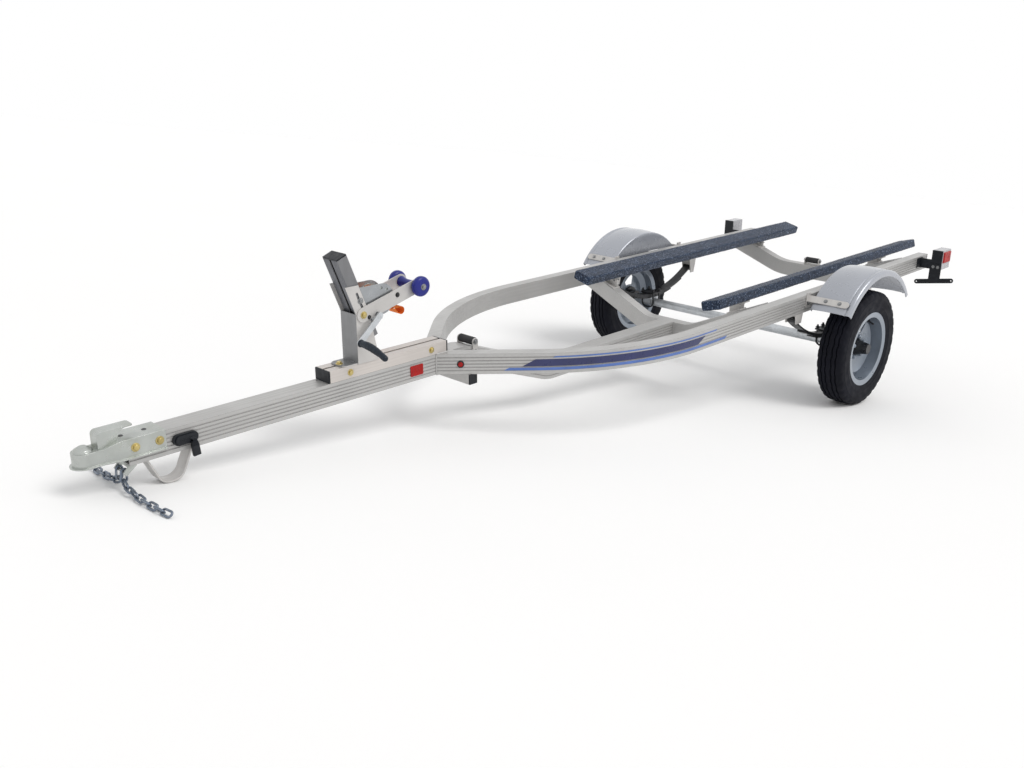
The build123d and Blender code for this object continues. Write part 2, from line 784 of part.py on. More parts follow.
def make_lamp_brackets():
    """L-shaped plates that stand each tail lamp outboard of the rail's end."""
    waist = (LAMP_TOP_Z + LAMP_LOW_Z) / 2
    with BuildPart() as plates:
        with BuildSketch(Plane.YZ.offset(LAMP_FRONT_X)):
            with BuildLine():
                Polyline(
                    (RAIL_OUT_Y, LAMP_LOW_Z),
                    (LAMP_OUT_Y, LAMP_LOW_Z),
                    (LAMP_OUT_Y, LAMP_TOP_Z),
                    (LAMP_IN_Y, LAMP_TOP_Z),
                    (LAMP_IN_Y, waist),
                    (RAIL_OUT_Y, waist),
                    close=True,
                )
            make_face()
        extrude(amount=LAMP_PLATE_T)
        with Locations((LAMP_FRONT_X, RAIL_OUT_Y + LAMP_PLATE_T / 2, (LAMP_LOW_Z + waist) / 2)):
            Box(2 * STRAP_W, LAMP_PLATE_T, waist - LAMP_LOW_Z)
        mirror(about=Plane.XZ)
    return plates


def make_lamps():
    """Tail lamp housings, open towards the lens on the outer side and the rear."""
    with BuildPart() as lamps:
        with Locations(
            (
                LAMP_FRONT_X - LAMP_LENGTH / 2,
                (LAMP_IN_Y + LAMP_OUT_Y) / 2,
                (LAMP_TOP_Z + LAMP_LOW_Z) / 2,
            )
        ):
            Box(LAMP_LENGTH, LAMP_OUT_Y - LAMP_IN_Y, LAMP_TOP_Z - LAMP_LOW_Z)
        fillet(lamps.edges().filter_by(Axis.Z).group_by(Axis.X)[0], LAMP_ROUND)
        mirror(about=Plane.XZ)
    return lamps


def make_lenses():
    """Red lenses: a pane on the upper part of each lamp's outer side and a full rear pane."""
    rear_h = LAMP_TOP_Z - LAMP_LOW_Z - 2 * LENS_EDGE
    side_z = LAMP_TOP_Z - LENS_EDGE - SIDE_LENS_H / 2
    side_x = LAMP_FRONT_X - LAMP_LENGTH / 2
    rear_x = LAMP_FRONT_X - LAMP_LENGTH - LENS_T / 2
    with BuildPart() as lenses:
        with Locations((side_x, LAMP_OUT_Y + LENS_T / 2, side_z)):
            Box(LAMP_LENGTH - 2 * LENS_EDGE, LENS_T, SIDE_LENS_H)
        with Locations((rear_x, (LAMP_IN_Y + LAMP_OUT_Y) / 2, (LAMP_TOP_Z + LAMP_LOW_Z) / 2)):
            Box(LENS_T, LAMP_OUT_Y - LAMP_IN_Y - LENS_EDGE, rear_h)
        mirror(about=Plane.XZ)
    return lenses


def make_plate_bracket():
    """The licence plate bracket: a stem on the left lamp plate and a tilted bar with two holes."""
    middle = (LAMP_IN_Y + LAMP_OUT_Y) / 2
    across = PLATE_HOLES / 2 * cos(radians(PLATE_TILT))
    rise = PLATE_HOLES / 2 * sin(radians(PLATE_TILT))
    with BuildPart() as bracket:
        with BuildSketch(Plane.YZ.offset(LAMP_FRONT_X + LAMP_PLATE_T)):
            with Locations((middle, (PLATE_STEM_TOP + PLATE_BAR_Z) / 2)):
                Rectangle(PLATE_STEM_W, PLATE_STEM_TOP - PLATE_BAR_Z)
            with Locations((middle, PLATE_BAR_Z)):
                SlotOverall(PLATE_BAR_L, PLATE_BAR_H, rotation=PLATE_TILT)
            with Locations((middle - across, PLATE_BAR_Z - rise), (middle + across, PLATE_BAR_Z + rise)):
                Circle(PLATE_HOLE_R, mode=Mode.SUBTRACT)
        extrude(amount=PLATE_T)
    return bracket


def make_markers():
    """Round marker lamps on the rails' outer faces just behind the joint."""
    slope = radians(RAIL_ANGLE)
    with BuildPart() as markers:
        for sign in SIDES.values():
            along = JOINT_X - MARKER_ALONG * cos(slope)
            out = TUBE / 2 + MARKER_ALONG * sin(slope)
            face = upright(along, sign * out, FRAME_Z, (sin(slope), sign * cos(slope), 0))
            with BuildSketch(face):
                Circle(MARKER_R)
            extrude(amount=MARKER_T)
    return markers


def make_reflectors():
    """Red reflectors on both sides of the tongue, ahead of the joint."""
    with BuildPart() as reflectors:
        for sign in SIDES.values():
            with Locations((REFLECTOR_X, sign * (TUBE + REFLECTOR_T) / 2, FRAME_Z)):
                Box(REFLECTOR_L, REFLECTOR_T, REFLECTOR_H)
    return reflectors


def coupler_outline(half_width, nose_r):
    """Corner points of one side of the coupler's plan, from its rear to the ball."""
    return [
        (COUPLER_REAR_X, half_width),
        (COUPLER_SHOULDER_X, half_width),
        (COUPLER_NECK_X, nose_r),
        (BALL_X, nose_r),
    ]


def make_coupler():
    """The pressed coupler: channel over the tongue, neck, ball dome and turned-out lip."""
    half_width = TUBE / 2 + TUBE_FIT + COUPLER_WALL
    top = TUBE_TOP + COUPLER_WALL
    with BuildPart() as coupler:
        for grow, low, high in (
            (0, COUPLER_LOW_Z, top),
            (COUPLER_LIP, COUPLER_LOW_Z, COUPLER_LOW_Z + COUPLER_LIP_T),
        ):
            side = coupler_outline(half_width + grow, COUPLER_NOSE_R + grow)
            with BuildSketch(Plane.XY.offset(low)):
                with BuildLine():
                    left = Polyline(*side)
                    right = Polyline(*[(x, -y) for x, y in side])
                    ThreePointArc(left @ 1, (BALL_X + COUPLER_NOSE_R + grow, 0), right @ 1)
                    Line(left @ 0, right @ 0)
                make_face()
            extrude(amount=high - low)
        with BuildSketch(Plane.XZ):
            with BuildLine():
                Polyline(
                    (COUPLER_SHOULDER_X, top),
                    (COUPLER_NECK_X, COUPLER_NECK_Z),
                    (BALL_X + 2 * COUPLER_NOSE_R, COUPLER_NECK_Z),
                    (BALL_X + 2 * COUPLER_NOSE_R, top),
                    close=True,
                )
            make_face()
        extrude(amount=half_width, both=True, mode=Mode.SUBTRACT)
        with BuildSketch(Plane.XZ):
            with BuildLine():
                Polyline(
                    (BALL_X, COUPLER_LOW_Z),
                    (BALL_X + COUPLER_NOSE_R, COUPLER_LOW_Z),
                    (BALL_X + COUPLER_NOSE_R, BALL_Z + DOME_RISE * 0.35),
                    (BALL_X + COUPLER_NOSE_R * 0.75, BALL_Z + DOME_RISE * 0.8),
                    (BALL_X + COUPLER_NOSE_R * 0.35, BALL_Z + DOME_RISE),
                    (BALL_X, BALL_Z + DOME_RISE),
                    close=True,
                )
            make_face()
        revolve(axis=Axis((BALL_X, 0, 0), (0, 0, 1)))
        bore = BALL_R + BALL_GAP
        with BuildSketch(Plane.XZ):
            with BuildLine():
                Polyline(
                    (BALL_X, COUPLER_LOW_Z),
                    (BALL_X + bore, COUPLER_LOW_Z),
                    (BALL_X + bore, BALL_Z),
                    (BALL_X + bore * 0.72, BALL_Z + bore * 0.72),
                    (BALL_X, BALL_Z + bore),
                    close=True,
                )
            make_face()
        revolve(axis=Axis((BALL_X, 0, 0), (0, 0, 1)), mode=Mode.SUBTRACT)
        channel_front = TONGUE_FRONT_X + COUPLER_WALL
        with Locations(((COUPLER_REAR_X + channel_front) / 2, 0, (COUPLER_LOW_Z + TUBE_TOP) / 2)):
            Box(
                channel_front - COUPLER_REAR_X,
                TUBE + 2 * TUBE_FIT,
                TUBE_TOP - COUPLER_LOW_Z,
                mode=Mode.SUBTRACT,
            )
    return coupler


def make_latch():
    """The latch: a lever plate, bent down in front, on two curved cheeks on the coupler's neck."""
    top = TUBE_TOP + COUPLER_WALL
    heel = COUPLER_SHOULDER_X - LATCH_HEEL
    under = LATCH_Z - LATCH_T
    inside = LATCH_FRONT_X - LATCH_T
    with BuildPart() as latch:
        with BuildSketch(Plane.XZ):
            with BuildLine():
                rear = ThreePointArc(
                    (COUPLER_SHOULDER_X, top),
                    (COUPLER_SHOULDER_X - LATCH_HEEL * 0.35, top + (under - top) * 0.7),
                    (heel, under),
                )
                Polyline(
                    rear @ 1,
                    (heel, LATCH_Z),
                    (LATCH_FRONT_X, LATCH_Z),
                    (LATCH_FRONT_X, COUPLER_NECK_Z),
                    (COUPLER_NECK_X, COUPLER_NECK_Z),
                    rear @ 0,
                )
            make_face()
        extrude(amount=LATCH_W / 2, both=True)
        nose = latch.edges().filter_by(Axis.Y).group_by(Axis.Z)[-1].sort_by(Axis.X)[-1]
        fillet(nose, LATCH_ROUND)
        with BuildSketch(Plane.XZ):
            with BuildLine():
                Polyline(
                    (heel - LATCH_T, under),
                    (inside, under),
                    (inside, COUPLER_NECK_Z),
                    (COUPLER_NECK_X, COUPLER_NECK_Z - LATCH_T),
                    (heel - LATCH_T, top - LATCH_T),
                    close=True,
                )
            make_face()
            bend = vertices().group_by(Axis.Y)[-1].sort_by(Axis.X)[-1]
            fillet(bend, LATCH_ROUND - LATCH_T)
        extrude(amount=LATCH_W / 2 - LATCH_T, both=True, mode=Mode.SUBTRACT)
        with BuildSketch(Plane.XY.offset(under)):
            with Locations(((LATCH_REAR_X + COUPLER_SHOULDER_X) / 2, 0)):
                Rectangle(COUPLER_SHOULDER_X - LATCH_REAR_X, LATCH_W)
            fillet(vertices().group_by(Axis.X)[0], LATCH_CORNER)
        extrude(amount=LATCH_T)
    return latch


def make_foot():
    """The tongue foot: a flat bar bent down into a loop under the tongue."""
    turn = radians(FOOT_TURN)
    seat = TUBE_LOW - FOOT_BAR_T / 2
    corner = FOOT_FLAT / 2 + FOOT_BEND_R * tan(turn / 2)
    leg = corner + (seat - FOOT_LOW_Z) / tan(turn)
    with BuildPart() as foot:
        with BuildLine(Plane.XZ):
            run = FilletPolyline(
                (FOOT_X + leg + FOOT_FLANGE, seat),
                (FOOT_X + leg, seat),
                (FOOT_X + corner, FOOT_LOW_Z),
                (FOOT_X - corner, FOOT_LOW_Z),
                (FOOT_X - leg, seat),
                (FOOT_X - leg - FOOT_FLANGE, seat),
                radius=[FOOT_TOP_R, FOOT_BEND_R, FOOT_BEND_R, FOOT_TOP_R],
            )
        with BuildSketch(section_plane(run)):
            Rectangle(FOOT_BAR_W, FOOT_BAR_T)
        sweep()
    return foot


def make_chain_anchor():
    """The anchor under the coupler's throat: two ears and the pin that both chains hang on."""
    pin_z = TUBE_LOW - CHAIN_PIN_DROP
    ear_y = CHAIN_SPACING / 2 + LINK_W / 2 + CHAIN_EAR_T / 2
    rear_x = TONGUE_FRONT_X
    with BuildPart() as anchor:
        with BuildSketch(Plane.XZ):
            with BuildLine():
                Polyline(
                    (rear_x - CHAIN_PLATE_L, TUBE_LOW),
                    (rear_x, TUBE_LOW),
                    (CHAIN_PIN_X + 2 * CHAIN_PIN_R, pin_z),
                    (CHAIN_PIN_X, pin_z - 2 * CHAIN_PIN_R),
                    (rear_x - CHAIN_PLATE_L, TUBE_LOW - CHAIN_EAR_T),
                    close=True,
                )
            make_face()
        extrude(amount=ear_y + CHAIN_EAR_T / 2, both=True)
        with BuildSketch(Plane.XZ):
            with Locations((CHAIN_PIN_X - LINK_W, TUBE_LOW - CHAIN_EAR_T - 30)):
                Rectangle(4 * LINK_W, 60)
        extrude(amount=ear_y - CHAIN_EAR_T / 2, both=True, mode=Mode.SUBTRACT)
        with Locations((rear_x - CHAIN_PLATE_L / 2, 0, TUBE_LOW - CHAIN_EAR_T / 2)):
            Box(CHAIN_PLATE_L, 2 * ear_y, CHAIN_EAR_T)
        with BuildSketch(Plane.XZ):
            with Locations((CHAIN_PIN_X, pin_z)):
                Circle(CHAIN_PIN_R)
        extrude(amount=ear_y, both=True)
    return anchor


def make_plug_holder():
    """The oval socket on the tongue's left side that parks the wiring plug."""
    with BuildPart() as holder:
        with BuildSketch(Plane.XZ.offset(-TUBE / 2)):
            with Locations((HOLDER_X, FRAME_Z)):
                SlotOverall(HOLDER_LENGTH, HOLDER_H)
        extrude(amount=-HOLDER_T)
    return holder


def make_plug():
    """The flat wiring plug that hangs from the holder on a short moulded lead."""
    rear = HOLDER_X - HOLDER_LENGTH / 2 + HOLDER_H / 2
    face = TUBE / 2 + HOLDER_T
    with BuildPart() as plug:
        with Locations((rear, face + PLUG_T / 2, FRAME_Z - HOLDER_H / 2 - PLUG_L / 2)):
            Box(PLUG_W, PLUG_T, PLUG_L)
        with Locations((rear, face + PLUG_T / 4, FRAME_Z - HOLDER_H / 4)):
            Box(PLUG_W / 3, PLUG_T / 2, HOLDER_H / 2)
    return plug


def slotted_outline():
    """Corner points of the slotted extrusion, slot up, standing on its base."""
    half = TUBE / 2
    mouth = SLOT_MOUTH / 2
    slot = SLOT_W / 2
    lip = SLOT_TUBE_H - SLOT_WALL
    floor = lip - SLOT_DEPTH
    return [
        (-half, 0),
        (half, 0),
        (half, SLOT_TUBE_H),
        (mouth, SLOT_TUBE_H),
        (mouth, lip),
        (slot, lip),
        (slot, floor),
        (-slot, floor),
        (-slot, lip),
        (-mouth, lip),
        (-mouth, SLOT_TUBE_H),
        (-half, SLOT_TUBE_H),
    ]


def chamber():
    """Centre and size of the hollow on one side of the slot."""
    inner = SLOT_W / 2 + SLOT_WALL
    outer = TUBE / 2 - SLOT_WALL
    return (inner + outer) / 2, outer - inner


def make_carriage():
    """The slotted tube along the tongue that the winch stand slides on."""
    offset, width = chamber()
    with BuildPart() as carriage:
        rear_end = Plane(origin=(CARRIAGE_REAR_X, 0, TUBE_TOP), x_dir=(0, 1, 0), z_dir=(1, 0, 0))
        with BuildSketch(rear_end):
            with BuildLine():
                Polyline(*slotted_outline(), close=True)
            make_face()
            with Locations((offset, SLOT_TUBE_H / 2), (-offset, SLOT_TUBE_H / 2)):
                Rectangle(width, SLOT_TUBE_H - 2 * SLOT_WALL, mode=Mode.SUBTRACT)
        extrude(amount=CARRIAGE_FRONT_X - CARRIAGE_REAR_X)
    return carriage


def post_plane(down):
    """A plane across the post, down its length from the top, facing up along it.

    Its X is the trailer's Y and its Y points to the post's front face.
    """
    lean = radians(POST_LEAN)
    axis = Vector(sin(lean), 0, cos(lean))
    rear_top = Vector(POST_TOP_X, 0, POST_TOP_Z) - Vector(cos(lean), 0, -sin(lean)) * SLOT_TUBE_H / 2
    return Plane(origin=rear_top - axis * down, x_dir=(0, 1, 0), z_dir=axis)


def make_post():
    """The slotted winch post, leaning forward with its slot in front."""
    offset, width = chamber()
    with BuildPart() as post:
        with BuildSketch(post_plane(POST_LENGTH)):
            with BuildLine():
                Polyline(*[(y, -x) for y, x in slotted_outline()], close=True)
            make_face()
            with Locations((offset, -SLOT_TUBE_H / 2), (-offset, -SLOT_TUBE_H / 2)):
                Rectangle(width, SLOT_TUBE_H - 2 * SLOT_WALL, mode=Mode.SUBTRACT)
        extrude(amount=POST_LENGTH)
    return post


def make_slot_caps():
    """Moulded caps on the post's top and on both ends of the carriage tube."""
    with BuildPart() as caps:
        with BuildSketch(post_plane(0)):
            with Locations((0, -SLOT_TUBE_H / 2)):
                Rectangle(TUBE, SLOT_TUBE_H)
        extrude(amount=CAP_T)
        for x, end in ((CARRIAGE_FRONT_X, 1), (CARRIAGE_REAR_X, -1)):
            with Locations((x + end * CAP_T / 2, 0, TUBE_TOP + SLOT_TUBE_H / 2)):
                Box(CAP_T, TUBE, SLOT_TUBE_H)
    return caps


def make_stand():
    """The winch stand: side plates either side of the post, a front plate and base flanges."""
    lean = radians(POST_LEAN)
    ear = (STAND_TOP_Z - STAND_SHOULDER_Z) * tan(lean)
    slot_x = POST_TOP_X - (POST_TOP_Z - STAND_SLOT_Z) * tan(lean)
    ear_w = (SLOT_TUBE_H + 2 * STAND_T) / cos(lean)
    with BuildPart() as stand:
        with BuildSketch(Plane.XZ):
            with BuildLine():
                Polyline(
                    (STAND_REAR_X, CARRIAGE_TOP),
                    (STAND_FRONT_X, CARRIAGE_TOP),
                    (STAND_FRONT_X, STAND_SHOULDER_Z),
                    (STAND_FRONT_X + ear, STAND_TOP_Z),
                    (STAND_FRONT_X + ear - ear_w, STAND_TOP_Z),
                    (STAND_FRONT_X - ear_w, STAND_SHOULDER_Z),
                    close=True,
                )
            make_face()
            with Locations((slot_x, STAND_SLOT_Z)):
                SlotOverall(STAND_SLOT_L, STAND_SLOT_W, rotation=90 - POST_LEAN, mode=Mode.SUBTRACT)
        extrude(amount=STAND_Y, both=True)
        with BuildSketch(Plane.XZ):
            with Locations((STAND_FRONT_X - STAND_T - 200, (CARRIAGE_TOP + STAND_TOP_Z) / 2)):
                Rectangle(400, STAND_TOP_Z)
        extrude(amount=TUBE / 2, both=True, mode=Mode.SUBTRACT)
        with BuildSketch(Plane.XZ):
            with BuildLine():
                Polyline(
                    (STAND_FRONT_X - STAND_T, STAND_SHOULDER_Z),
                    (STAND_FRONT_X + ear + STAND_T, STAND_SHOULDER_Z),
                    (STAND_FRONT_X + ear + STAND_T, STAND_TOP_Z),
                    (STAND_FRONT_X - STAND_T, STAND_TOP_Z),
                    close=True,
                )
            make_face()
        extrude(amount=TUBE / 2, both=True, mode=Mode.SUBTRACT)
        with BuildSketch(Plane.XY.offset(CARRIAGE_TOP)) as base:
            with Locations(((STAND_BASE_X + STAND_REAR_X) / 2, 0)):
                Rectangle(STAND_BASE_X - STAND_REAR_X, TUBE)
            fillet(base.vertices().group_by(Axis.X)[-1], STAND_BASE_ROUND)
        extrude(amount=STAND_T)
    return stand


def arm_angle():
    """Slope of the bow stop's arms, in degrees."""
    return degrees(atan2(BOW_Z - ARM_ROOT_Z, ARM_ROOT_X - BOW_X))


def make_arms():
    """The bow stop's arms, bored for the roller's pin and cleared round the crank's shaft."""
    length = hypot(BOW_Z - ARM_ROOT_Z, ARM_ROOT_X - BOW_X)
    with BuildPart() as arms:
        with BuildSketch(Plane.XZ):
            with Locations(((ARM_ROOT_X + BOW_X) / 2, (ARM_ROOT_Z + BOW_Z) / 2)):
                SlotCenterToCenter(length, ARM_H, rotation=-arm_angle())
            with Locations((BOW_X, BOW_Z)):
                Circle(BOW_PIN_R + RUNNING_GAP, mode=Mode.SUBTRACT)
            with Locations((CRANK_X, CRANK_Z)):
                Circle(CRANK_PIN_R + SHAFT_GAP, mode=Mode.SUBTRACT)
        extrude(amount=ARM_OUT_Y, both=True)
        with Locations((BOW_X, 0, BOW_Z)):
            Box(1000, 2 * STAND_Y, 1000, mode=Mode.SUBTRACT)
    return arms


def make_bow_roller():
    """The bow roller: a bulb outside each arm, a waist between them and the pin through all."""
    waist = STAND_Y - SIDE_GAP
    near = ARM_OUT_Y + SIDE_GAP
    far = near + BULB_W
    arc_r = (BULB_W**2 / 4 + BULB_EDGE**2) / (2 * BULB_EDGE)
    sweep_each = 2 * asin(BULB_W / 2 / arc_r) / BULB_BANDS
    half = [(waist, WAIST_R), (waist, BOW_PIN_R), (near, BOW_PIN_R)]
    for k in range(BULB_BANDS + 1):
        turn = sweep_each * (k - BULB_BANDS / 2)
        half.append(((near + far) / 2 + arc_r * sin(turn), BULB_R - arc_r + arc_r * cos(turn)))
    half.append((far, 0))
    with BuildPart() as roller:
        with BuildSketch(Plane(origin=(BOW_X, 0, BOW_Z), x_dir=(0, 1, 0), z_dir=(1, 0, 0))):
            with BuildLine():
                Polyline(*half, *[(-y, r) for y, r in half[::-1]], close=True)
            make_face()
        revolve(axis=Axis((BOW_X, 0, BOW_Z), (0, 1, 0)))
    return roller


def post_rear(z):
    """How far forward the post's rear face lies at a height."""
    lean = radians(POST_LEAN)
    return POST_TOP_X - (POST_TOP_Z - z) * tan(lean) - SLOT_TUBE_H / 2 / cos(lean)


def make_winch_frame():
    """The winch frame: two rounded side plates on a back plate against the post."""
    inside = DRUM_HALF + SIDE_GAP
    top = DRUM_Z + WINCH_PLATE_R
    low = CRANK_Z - 2 * PINION_R
    with BuildPart() as frame:
        with BuildSketch(Plane.XZ):
            with Locations((DRUM_X, DRUM_Z)):
                Circle(WINCH_PLATE_R)
            with BuildLine():
                Polyline(
                    (DRUM_X, top),
                    (post_rear(top), top),
                    (post_rear(low), low),
                    (DRUM_X, low),
                    close=True,
                )
            make_face()
            with Locations((DRUM_X, DRUM_Z)):
                Circle(DRUM_PIN_R + RUNNING_GAP, mode=Mode.SUBTRACT)
            with Locations((CRANK_X, CRANK_Z)):
                Circle(CRANK_PIN_R + RUNNING_GAP, mode=Mode.SUBTRACT)
            with Locations((DRUM_X, DRUM_Z)):
                with PolarLocations(WINCH_HOLES_R, WINCH_HOLES, start_angle=90, angular_range=180):
                    Circle(WINCH_HOLE_R, mode=Mode.SUBTRACT)
        extrude(amount=inside + WINCH_PLATE_T, both=True)
        with BuildSketch(Plane.XZ):
            with BuildLine():
                Polyline(
                    (DRUM_X - 2 * WINCH_PLATE_R, top + 1),
                    (post_rear(top + 1) - WINCH_PLATE_T, top + 1),
                    (post_rear(low - 1) - WINCH_PLATE_T, low - 1),
                    (DRUM_X - 2 * WINCH_PLATE_R, low - 1),
                    close=True,
                )
            make_face()
        extrude(amount=inside, both=True, mode=Mode.SUBTRACT)
    return frame


def make_drum():
    """The winch drum: core, flange and gear on one shaft."""
    end = DRUM_HALF + SIDE_GAP + WINCH_PLATE_T
    gear = DRUM_HALF - GEAR_W
    with BuildPart() as drum:
        with BuildSketch(Plane(origin=(DRUM_X, 0, DRUM_Z), x_dir=(0, 1, 0), z_dir=(1, 0, 0))):
            with BuildLine():
                Polyline(
                    (-end, 0),
                    (-end, DRUM_PIN_R),
                    (-DRUM_HALF, DRUM_PIN_R),
                    (-DRUM_HALF, GEAR_R),
                    (FLANGE_T - DRUM_HALF, GEAR_R),
                    (FLANGE_T - DRUM_HALF, DRUM_R),
                    (gear, DRUM_R),
                    (gear, GEAR_R),
                    (DRUM_HALF, GEAR_R),
                    (DRUM_HALF, DRUM_PIN_R),
                    (end, DRUM_PIN_R),
                    (end, 0),
                    close=True,
                )
            make_face()
        revolve(axis=Axis((DRUM_X, 0, DRUM_Z), (0, 1, 0)))
    return drum


def make_strap():
    """The webbing strap, wound on the drum between flange and gear."""
    low = FLANGE_T - DRUM_HALF + SIDE_GAP
    high = DRUM_HALF - GEAR_W - SIDE_GAP
    with BuildPart() as strap:
        with BuildSketch(Plane.XZ.offset(-low)):
            with Locations((DRUM_X, DRUM_Z)):
                Circle(STRAP_R)
                Circle(DRUM_R, mode=Mode.SUBTRACT)
        extrude(amount=low - high)
    return strap


def make_crank():
    """The crank: pinion and shaft in the winch frame, and the arm outside the bow stop."""
    swing = radians(CRANK_ANGLE)
    far = DRUM_HALF + SIDE_GAP + WINCH_PLATE_T
    tip = (CRANK_X - CRANK_ARM_LENGTH * cos(swing), CRANK_Z + CRANK_ARM_LENGTH * sin(swing))
    with BuildPart() as crank:
        with BuildSketch(Plane.XZ.offset(far)):
            with Locations((CRANK_X, CRANK_Z)):
                Circle(CRANK_PIN_R)
        extrude(amount=-(far + CRANK_Y + CRANK_ARM_T))
        with BuildSketch(Plane.XZ.offset(GEAR_W - DRUM_HALF)):
            with Locations((CRANK_X, CRANK_Z)):
                Circle(PINION_R)
        extrude(amount=-GEAR_W)
        with BuildSketch(Plane.XZ.offset(-CRANK_Y)):
            with Locations(((CRANK_X + tip[0]) / 2, (CRANK_Z + tip[1]) / 2)):
                SlotCenterToCenter(CRANK_ARM_LENGTH, CRANK_ARM_W, rotation=-CRANK_ANGLE)
        extrude(amount=-CRANK_ARM_T)
    return crank, tip


def make_grip(tip):
    """The crank's moulded grip, standing out from the arm and drooping at its end."""
    with BuildPart() as grip:
        with BuildLine(Plane.YZ.offset(tip[0])):
            run = FilletPolyline(
                (CRANK_Y + CRANK_ARM_T, tip[1]),
                (GRIP_BEND_Y, tip[1]),
                (GRIP_END_Y, tip[1] - GRIP_DROOP),
                radius=GRIP_BEND_R,
            )
        with BuildSketch(section_plane(run)):
            Circle(GRIP_R)
        sweep()
    return grip


def make_keel_roller(x, axis_z):
    """A small roller across the centre line, on its pin."""
    with BuildPart() as roller:
        with BuildSketch(Plane.XZ):
            with Locations((x, axis_z)):
                Circle(KEEL_ROLLER_R)
        extrude(amount=TUBE / 2 - SIDE_GAP, both=True)
        with BuildSketch(Plane.XZ):
            with Locations((x, axis_z)):
                Circle(KEEL_PIN_R)
        extrude(amount=TUBE / 2 + KEEL_EAR_T, both=True)
    return roller


def make_keel_brackets():
    """Ears that carry the keel rollers: on the tongue's sides, and on the rear cross-member."""
    rear_seat = REAR_MEMBER["flat_z"] + TUBE / 2
    stations = (
        (KEEL_FRONT["x"], KEEL_FRONT["axis_z"], KEEL_FRONT["ear_z"]),
        (REAR_MEMBER["x"], rear_seat + KEEL_REAR_LIFT, rear_seat),
    )
    with BuildPart() as brackets:
        for x, axis_z, low in stations:
            for sign in SIDES.values():
                with BuildSketch(Plane.XZ.offset(-sign * TUBE / 2)):
                    with Locations((x, (axis_z + low) / 2)):
                        Rectangle(KEEL_EAR_W, axis_z - low)
                    with Locations((x, axis_z)):
                        Circle(KEEL_EAR_W / 2)
                        Circle(KEEL_PIN_R + RUNNING_GAP, mode=Mode.SUBTRACT)
                extrude(amount=-sign * KEEL_EAR_T)
        with Locations((REAR_MEMBER["x"], 0, rear_seat + KEEL_EAR_T / 2)):
            Box(KEEL_EAR_W, TUBE + 2 * KEEL_EAR_T, KEEL_EAR_T)
    return brackets


def park_angle():
    """How far the trailer tips down until its tongue foot meets the wheels' ground, in degrees."""
    bend_z = FOOT_LOW_Z + FOOT_BEND_R
    out_r = FOOT_BEND_R + FOOT_BAR_T / 2
    rise = bend_z - AXLE_Z
    ahead = FOOT_X + FOOT_FLAT / 2
    return degrees(acos((out_r - TYRE_R) / hypot(rise, ahead)) - atan2(ahead, rise))


def parked(point):
    """Where a point of the level trailer lies once it has tipped down about its axle."""
    tip = radians(park_angle())
    rise = point.Z - AXLE_Z
    return Vector(
        point.X * cos(tip) + rise * sin(tip),
        point.Y,
        TYRE_R + rise * cos(tip) - point.X * sin(tip),
    )


def link_plane(centre, way, roll):
    """The plane of a chain link round its centre, running one way and turned about it."""
    flat = Vector(1, 0, 0).cross(way).normalized()
    side = way.cross(flat)
    normal = flat * cos(radians(roll)) + side * sin(radians(roll))
    return Plane(origin=centre, x_dir=way, z_dir=normal)


def octagon(length, width):
    """Corner points of a bar-shaped loop with cut corners."""
    cut = width / 3.4
    x = length / 2
    y = width / 2
    return [
        (x, cut - y), (x, y - cut), (x - cut, y), (cut - x, y),
        (-x, y - cut), (-x, cut - y), (cut - x, -y), (x - cut, -y),
    ]


def make_link():
    """One chain link, lying flat round the origin."""
    with BuildPart() as link:
        with BuildSketch():
            with BuildLine():
                Polyline(*octagon(LINK_INSIDE + 2 * LINK_WIRE, LINK_W), close=True)
            make_face()
            with BuildLine():
                Polyline(*octagon(LINK_INSIDE, LINK_W - 2 * LINK_WIRE), close=True)
            make_face(mode=Mode.SUBTRACT)
        extrude(amount=LINK_WIRE / 2, both=True)
        levels = link.faces().sort_by(Axis.Z)
        chamfer(levels[0].edges() + levels[-1].edges(), LINK_WIRE * 0.29)
    return link


def link_roll(index):
    """How far a link is turned about the chain: square to the last, then easing to 45 degrees."""
    return 15 * min(3, max(0, index - 2)) + 90 * (index % 2)


def link_rest(index):
    """Height of a link's middle when it lies on the ground."""
    return (LINK_W - LINK_WIRE) / 2 * abs(sin(radians(link_roll(index)))) + LINK_WIRE * 0.6


def make_chain(sign):
    """One safety chain: it hangs from its pin to the ground and lies there."""
    link = make_link()
    span = LINK_INSIDE + LINK_WIRE
    pin = parked(Vector(CHAIN_PIN_X, sign * CHAIN_SPACING / 2, TUBE_LOW - CHAIN_PIN_DROP))
    bar = pin + UP * (CHAIN_PIN_R + LINK_WIRE / 2 + LINK_PLAY)
    way = -UP
    last_across = Vector(1, 0, 0)
    with BuildPart() as chain:
        for index in range(LINK_COUNT):
            if index:
                rest = max(link_rest(index), link_rest(index + 1))
                fall = max(0.0, (bar.Z - rest) / span)
                flat = sqrt(1 - fall**2)
                heading = sign * radians(CHAIN_HEADING + CHAIN_CURL * index)
                way = Vector(flat * cos(heading), flat * sin(heading), -fall)
            across = link_plane(bar, way, link_roll(index)).y_dir
            if index:
                gap = last_across.cross(across).normalized()
                gap = gap if gap.dot(way) > 0 else -gap
                bar = bar - gap * (LINK_WIRE + LINK_PLAY)
            place = link_plane(bar + way * span / 2, way, link_roll(index))
            add(place.location * link.part)
            bar = bar + way * span
            last_across = across
    return chain


# Every piece of the level trailer
tongue = make_tongue()
rail = make_rail()
spring, spring_eye = make_spring()
bunk = make_bunk()
tyre = make_tyre()
rim = make_rim()
hub = make_hub()
fender = make_fender()
crank, crank_tip = make_crank()

